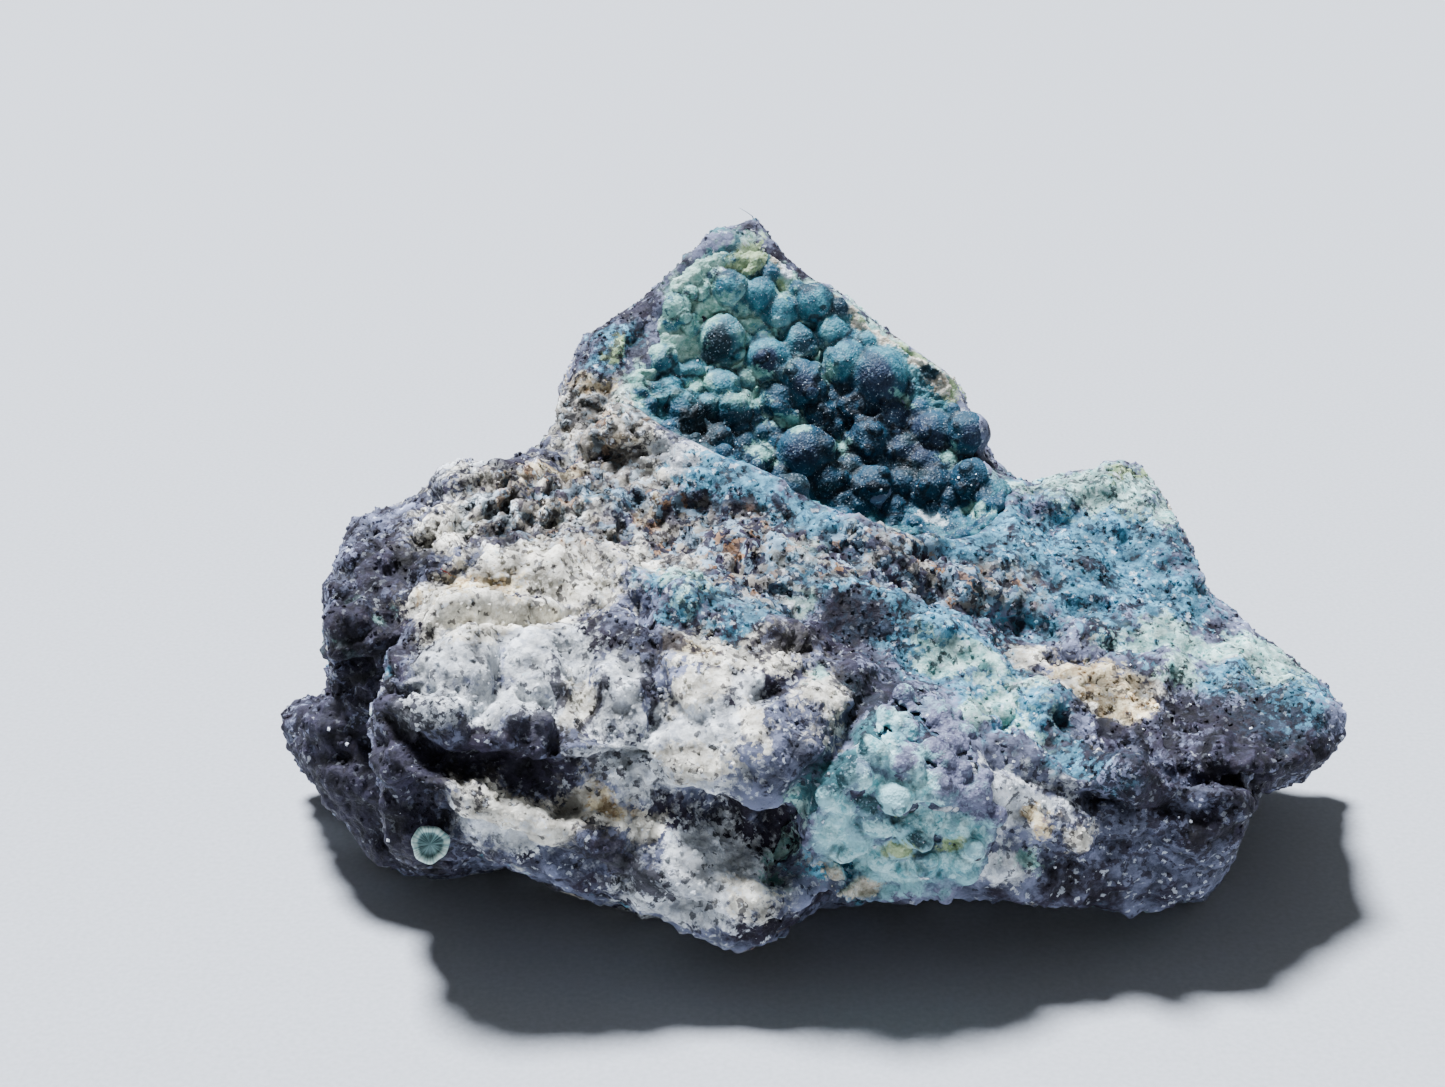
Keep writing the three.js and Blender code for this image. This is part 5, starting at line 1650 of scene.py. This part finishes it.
def broken_ball_mesh(middle, radius, turn):
    """A ball whose broken face looks along its turned upright axis. Each point keeps its ray's tone
    and how far out it lies."""
    rays = np.random.default_rng(SEED_RAYS).random(BROKEN_RAYS)
    bm = bmesh.new()
    tones = []
    outs = []
    rings = []
    for level, (out, up) in enumerate(BROKEN_RINGS):
        ring = []
        for i, ray in enumerate(rays):
            angle = math.tau * i / BROKEN_RAYS
            # The rim isn't quite round.
            wobble = 1 + 0.05 * math.sin(3 * angle + 1) + 0.03 * math.sin(7 * angle)
            lift = up + (RAY_LIFT * (ray - 0.5) * out if level <= LAST_RAY_RING else 0)
            place = Vector((math.cos(angle) * out * wobble, math.sin(angle) * out * wobble, lift))
            ring.append(bm.verts.new(middle + turn @ (place * radius)))
            tones.append(ray)
            outs.append(out)
        rings.append(ring)
    for inner, outer in zip(rings, rings[1:]):
        for i in range(BROKEN_RAYS):
            k = (i + 1) % BROKEN_RAYS
            bm.faces.new((inner[i], outer[i], outer[k], inner[k]))
    for ring, up in ((rings[0], FACE_MIDDLE), (rings[-1], BACK_MIDDLE)):
        pole = bm.verts.new(middle + turn @ Vector((0, 0, up * radius)))
        tones.append(0.5)
        outs.append(0.0)
        for i in range(BROKEN_RAYS):
            bm.faces.new((pole, ring[i], ring[(i + 1) % BROKEN_RAYS]))
    bmesh.ops.recalc_face_normals(bm, faces=bm.faces)
    mesh = mesh_of(bm, "broken_ball")
    mesh.polygons.foreach_set("use_smooth", [True] * len(mesh.polygons))
    keep(mesh, "ray", tones)
    keep(mesh, "out", outs)
    return mesh


class BuildBrokenBall(bpy.types.Operator):
    """Builds the single broken ball at the left foot, with the rays of its inside"""

    bl_idname = "specimen.broken_ball"
    bl_label = "Broken ball"

    def execute(self, context):
        low, high = (Vector(corner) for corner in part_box("side_spherule"))
        middle = (low + high) / 2
        turn = (EYE - middle).to_track_quat("Z", "Y")
        mesh = broken_ball_mesh(middle, max(high - low) / 2, turn)
        ball = link(bpy.data.objects.new("broken_ball", mesh))
        finish_piece(ball, spherule_material(), "broken_spherule", "side_spherule")
        return {"FINISHED"}


def first_met(trees, across, up):
    """The first place that a line from the eye meets on any of some pieces."""
    met = [tree.ray_cast(EYE, sight(across, up)) for tree in trees]
    met = [(distance, place) for place, _, _, distance in met if place is not None]
    return min(met)[1] if met else None


def glint_mesh(trees):
    """Single bright crystals as small turned cubes, where lines from the eye meet the given pieces."""
    rng = np.random.default_rng(SEED_GLINTS)
    bm = bmesh.new()
    for across, up in GLINTS:
        place = first_met(trees, across, up)
        if place is None:
            continue
        made = bmesh.ops.create_cube(bm, size=float(rng.uniform(*GLINT_EDGES)) * MM)
        turn = Euler(rng.uniform(0, math.tau, 3)).to_matrix()
        bmesh.ops.rotate(bm, verts=made["verts"], matrix=turn)
        bmesh.ops.translate(bm, verts=made["verts"], vec=place)
    return mesh_of(bm, "crystals")


class BuildCrystals(bpy.types.Operator):
    """Sets small bright crystals on the stone and on the balls"""

    bl_idname = "specimen.crystals"
    bl_label = "Crystals"

    def execute(self, context):
        # The tips of wavellite crystals are glassy, so they shine sharply.
        material = plain_material("crystal_tips", linear("#e9eff8"), 0.15)
        pieces = [bpy.data.objects[name] for name in CRYSTALS_ON]
        mesh = glint_mesh([tree_of(piece) for piece in pieces])
        crystals = link(bpy.data.objects.new("crystals", mesh))
        strew = scatter_tree("strewn_crystals", "GeometryNodeMeshCube", {"Size": (1.0, 1.0, 1.0)})
        for seed, (name, (count, faces)) in enumerate(CRYSTALS_ON.items()):
            strewn = twin(bpy.data.objects[name], "strewn")
            settings = {
                "Where": "strew",
                "Count": count,
                "Apart": 0.0,
                "Smallest": CRYSTAL_EDGES[0] * MM,
                "Largest": CRYSTAL_EDGES[1] * MM,
                "Flattest": 0.6,
                "Faces": faces,
                "Seed": seed + SEED_CRYSTALS,
                "Material": material,
            }
            run_nodes(strewn, strew, settings)
            join_meshes(crystals, strewn.data.copy())
            bpy.data.objects.remove(strewn)
        finish_piece(crystals, material, "hollow_wavellite")
        return {"FINISHED"}


def fibre(name, points):
    """A thin closed tube along some points that narrows towards its end."""
    bm = bmesh.new()
    rings = []
    for i, point in enumerate(points):
        ahead = (points[min(i + 1, len(points) - 1)] - points[max(i - 1, 0)]).to_track_quat("Z", "Y")
        size = FIBRE_RADIUS * MM * (1 - FIBRE_NARROWS * i / (len(points) - 1))
        angles = [math.tau * k / FIBRE_SIDES for k in range(FIBRE_SIDES)]
        ring = [Vector((math.cos(angle), math.sin(angle), 0)) * size for angle in angles]
        rings.append([bm.verts.new(point + ahead @ offset) for offset in ring])
    for near, far in zip(rings, rings[1:]):
        for i in range(FIBRE_SIDES):
            k = (i + 1) % FIBRE_SIDES
            bm.faces.new((near[i], near[k], far[k], far[i]))
    bm.faces.new(reversed(rings[0]))
    bm.faces.new(rings[-1])
    bmesh.ops.recalc_face_normals(bm, faces=bm.faces)
    return link(bpy.data.objects.new(name, mesh_of(bm, name)))


class BuildFibres(bpy.types.Operator):
    """Builds the needle on the peak and the red fibre on the left side"""

    bl_idname = "specimen.fibres"
    bl_label = "Fibres"

    def execute(self, context):
        stone = bpy.data.objects["stone"]
        points = places_in(stone.data)
        peak = Vector(points[front_places(points)[:, 1].argmax()])
        needle = fibre("peak_needle", [peak + Vector(step) * MM for step in NEEDLE])
        # A single needle of wavellite is clear and silky.
        finish_piece(needle, plain_material("wavellite_needle", linear("#dfe6f2"), 0.3), "matrix_stone")
        laid = [first_met([tree_of(stone)], across, up) for across, up in RED_LINT]
        if None in laid:
            raise RuntimeError("the red fibre has nothing under it")
        lint = fibre("red_fibre", [place + LINT_LIFT * MM for place in laid])
        # Dyed lint is matt and strong in colour.
        finish_piece(lint, plain_material("dyed_lint", linear("#93322f"), 0.8), "matrix_stone")
        return {"FINISHED"}


class BuildStage(bpy.types.Operator):
    """Sets the pale floor, the wide light, the room's own light and the camera"""

    bl_idname = "specimen.stage"
    bl_label = "Stage"

    def execute(self, context):
        scene = context.scene
        bm = bmesh.new()
        bmesh.ops.create_grid(bm, x_segments=1, y_segments=1, size=FLOOR_REACH)
        mesh = mesh_of(bm, "floor")
        # Painted board is matt and nearly even in colour.
        mesh.materials.append(plain_material("painted_board", scene.specimen_colours.floor, 0.8))
        link(bpy.data.objects.new("floor", mesh))
        light = bpy.data.lights.new("key", "SUN")
        light.angle = LIGHT_WIDTH
        light.energy = LIGHT_STRENGTH
        light.color = linear(LIGHT_COLOUR)[:3]
        lamp = link(bpy.data.objects.new("key", light))
        lamp.location = LIGHT_FROM
        lamp.rotation_euler = LIGHT_FROM.to_track_quat("Z", "Y").to_euler()
        world = bpy.data.worlds.new("room")
        world.use_nodes = True
        tree = world.node_tree
        tree.nodes.clear()
        direction = add(tree, "ShaderNodeTexCoord").outputs["Generated"]
        up = add(tree, "ShaderNodeSeparateXYZ", {0: direction})
        strength = add(
            tree,
            "ShaderNodeMapRange",
            {
                "Value": up.outputs["Z"],
                "From Min": 0.0,
                "From Max": ROOM_HIGH_FROM,
                "To Min": ROOM_LOW_STRENGTH,
                "To Max": ROOM_HIGH_STRENGTH,
            },
            interpolation_type="SMOOTHSTEP",
        )
        room = add(tree, "ShaderNodeBackground", {"Color": linear(ROOM_COLOUR), "Strength": strength})
        add(tree, "ShaderNodeOutputWorld", {"Surface": room})
        scene.world = world
        camera = bpy.data.cameras.new("camera")
        camera.lens = LENS
        camera.clip_start = 1 * MM
        eye = link(bpy.data.objects.new("camera", camera))
        eye.location = EYE
        eye.rotation_euler = (math.pi / 2 - EYE_LOOKS_DOWN, 0, 0)
        scene.camera = eye
        return {"FINISHED"}


class SpecimenPanel(bpy.types.Panel):
    """Lists the specimen's pieces and sizes"""

    bl_idname = "VIEW3D_PT_specimen"
    bl_label = "Wavellite specimen"
    bl_space_type = "VIEW_3D"
    bl_region_type = "UI"
    bl_category = "Specimen"

    def draw(self, context):
        for group in (context.scene.specimen_sizes, context.scene.specimen_colours):
            for name in group.__annotations__:
                self.layout.prop(group, name)
        for operator in OPERATORS:
            self.layout.operator(operator.bl_idname)


OPERATORS = (
    BuildStone,
    BuildHollowCrust,
    BuildFrontCrust,
    BuildGrains,
    BuildBrokenBall,
    BuildCrystals,
    BuildFibres,
    BuildStage,
)
CLASSES = (SpecimenSizes, SpecimenColours, *OPERATORS, SpecimenPanel)


def register():
    for cls in CLASSES:
        bpy.utils.register_class(cls)
    bpy.types.Scene.specimen_sizes = bpy.props.PointerProperty(type=SpecimenSizes)
    bpy.types.Scene.specimen_colours = bpy.props.PointerProperty(type=SpecimenColours)


def unregister():
    del bpy.types.Scene.specimen_colours
    del bpy.types.Scene.specimen_sizes
    for cls in reversed(CLASSES):
        bpy.utils.unregister_class(cls)


def main():
    register()
    bpy.ops.specimen.stone()
    bpy.ops.specimen.hollow_crust()
    bpy.ops.specimen.front_crust()
    bpy.ops.specimen.grains()
    bpy.ops.specimen.broken_ball()
    bpy.ops.specimen.crystals()
    bpy.ops.specimen.fibres()
    bpy.ops.specimen.stage()


if __name__ == "__main__":
    main()
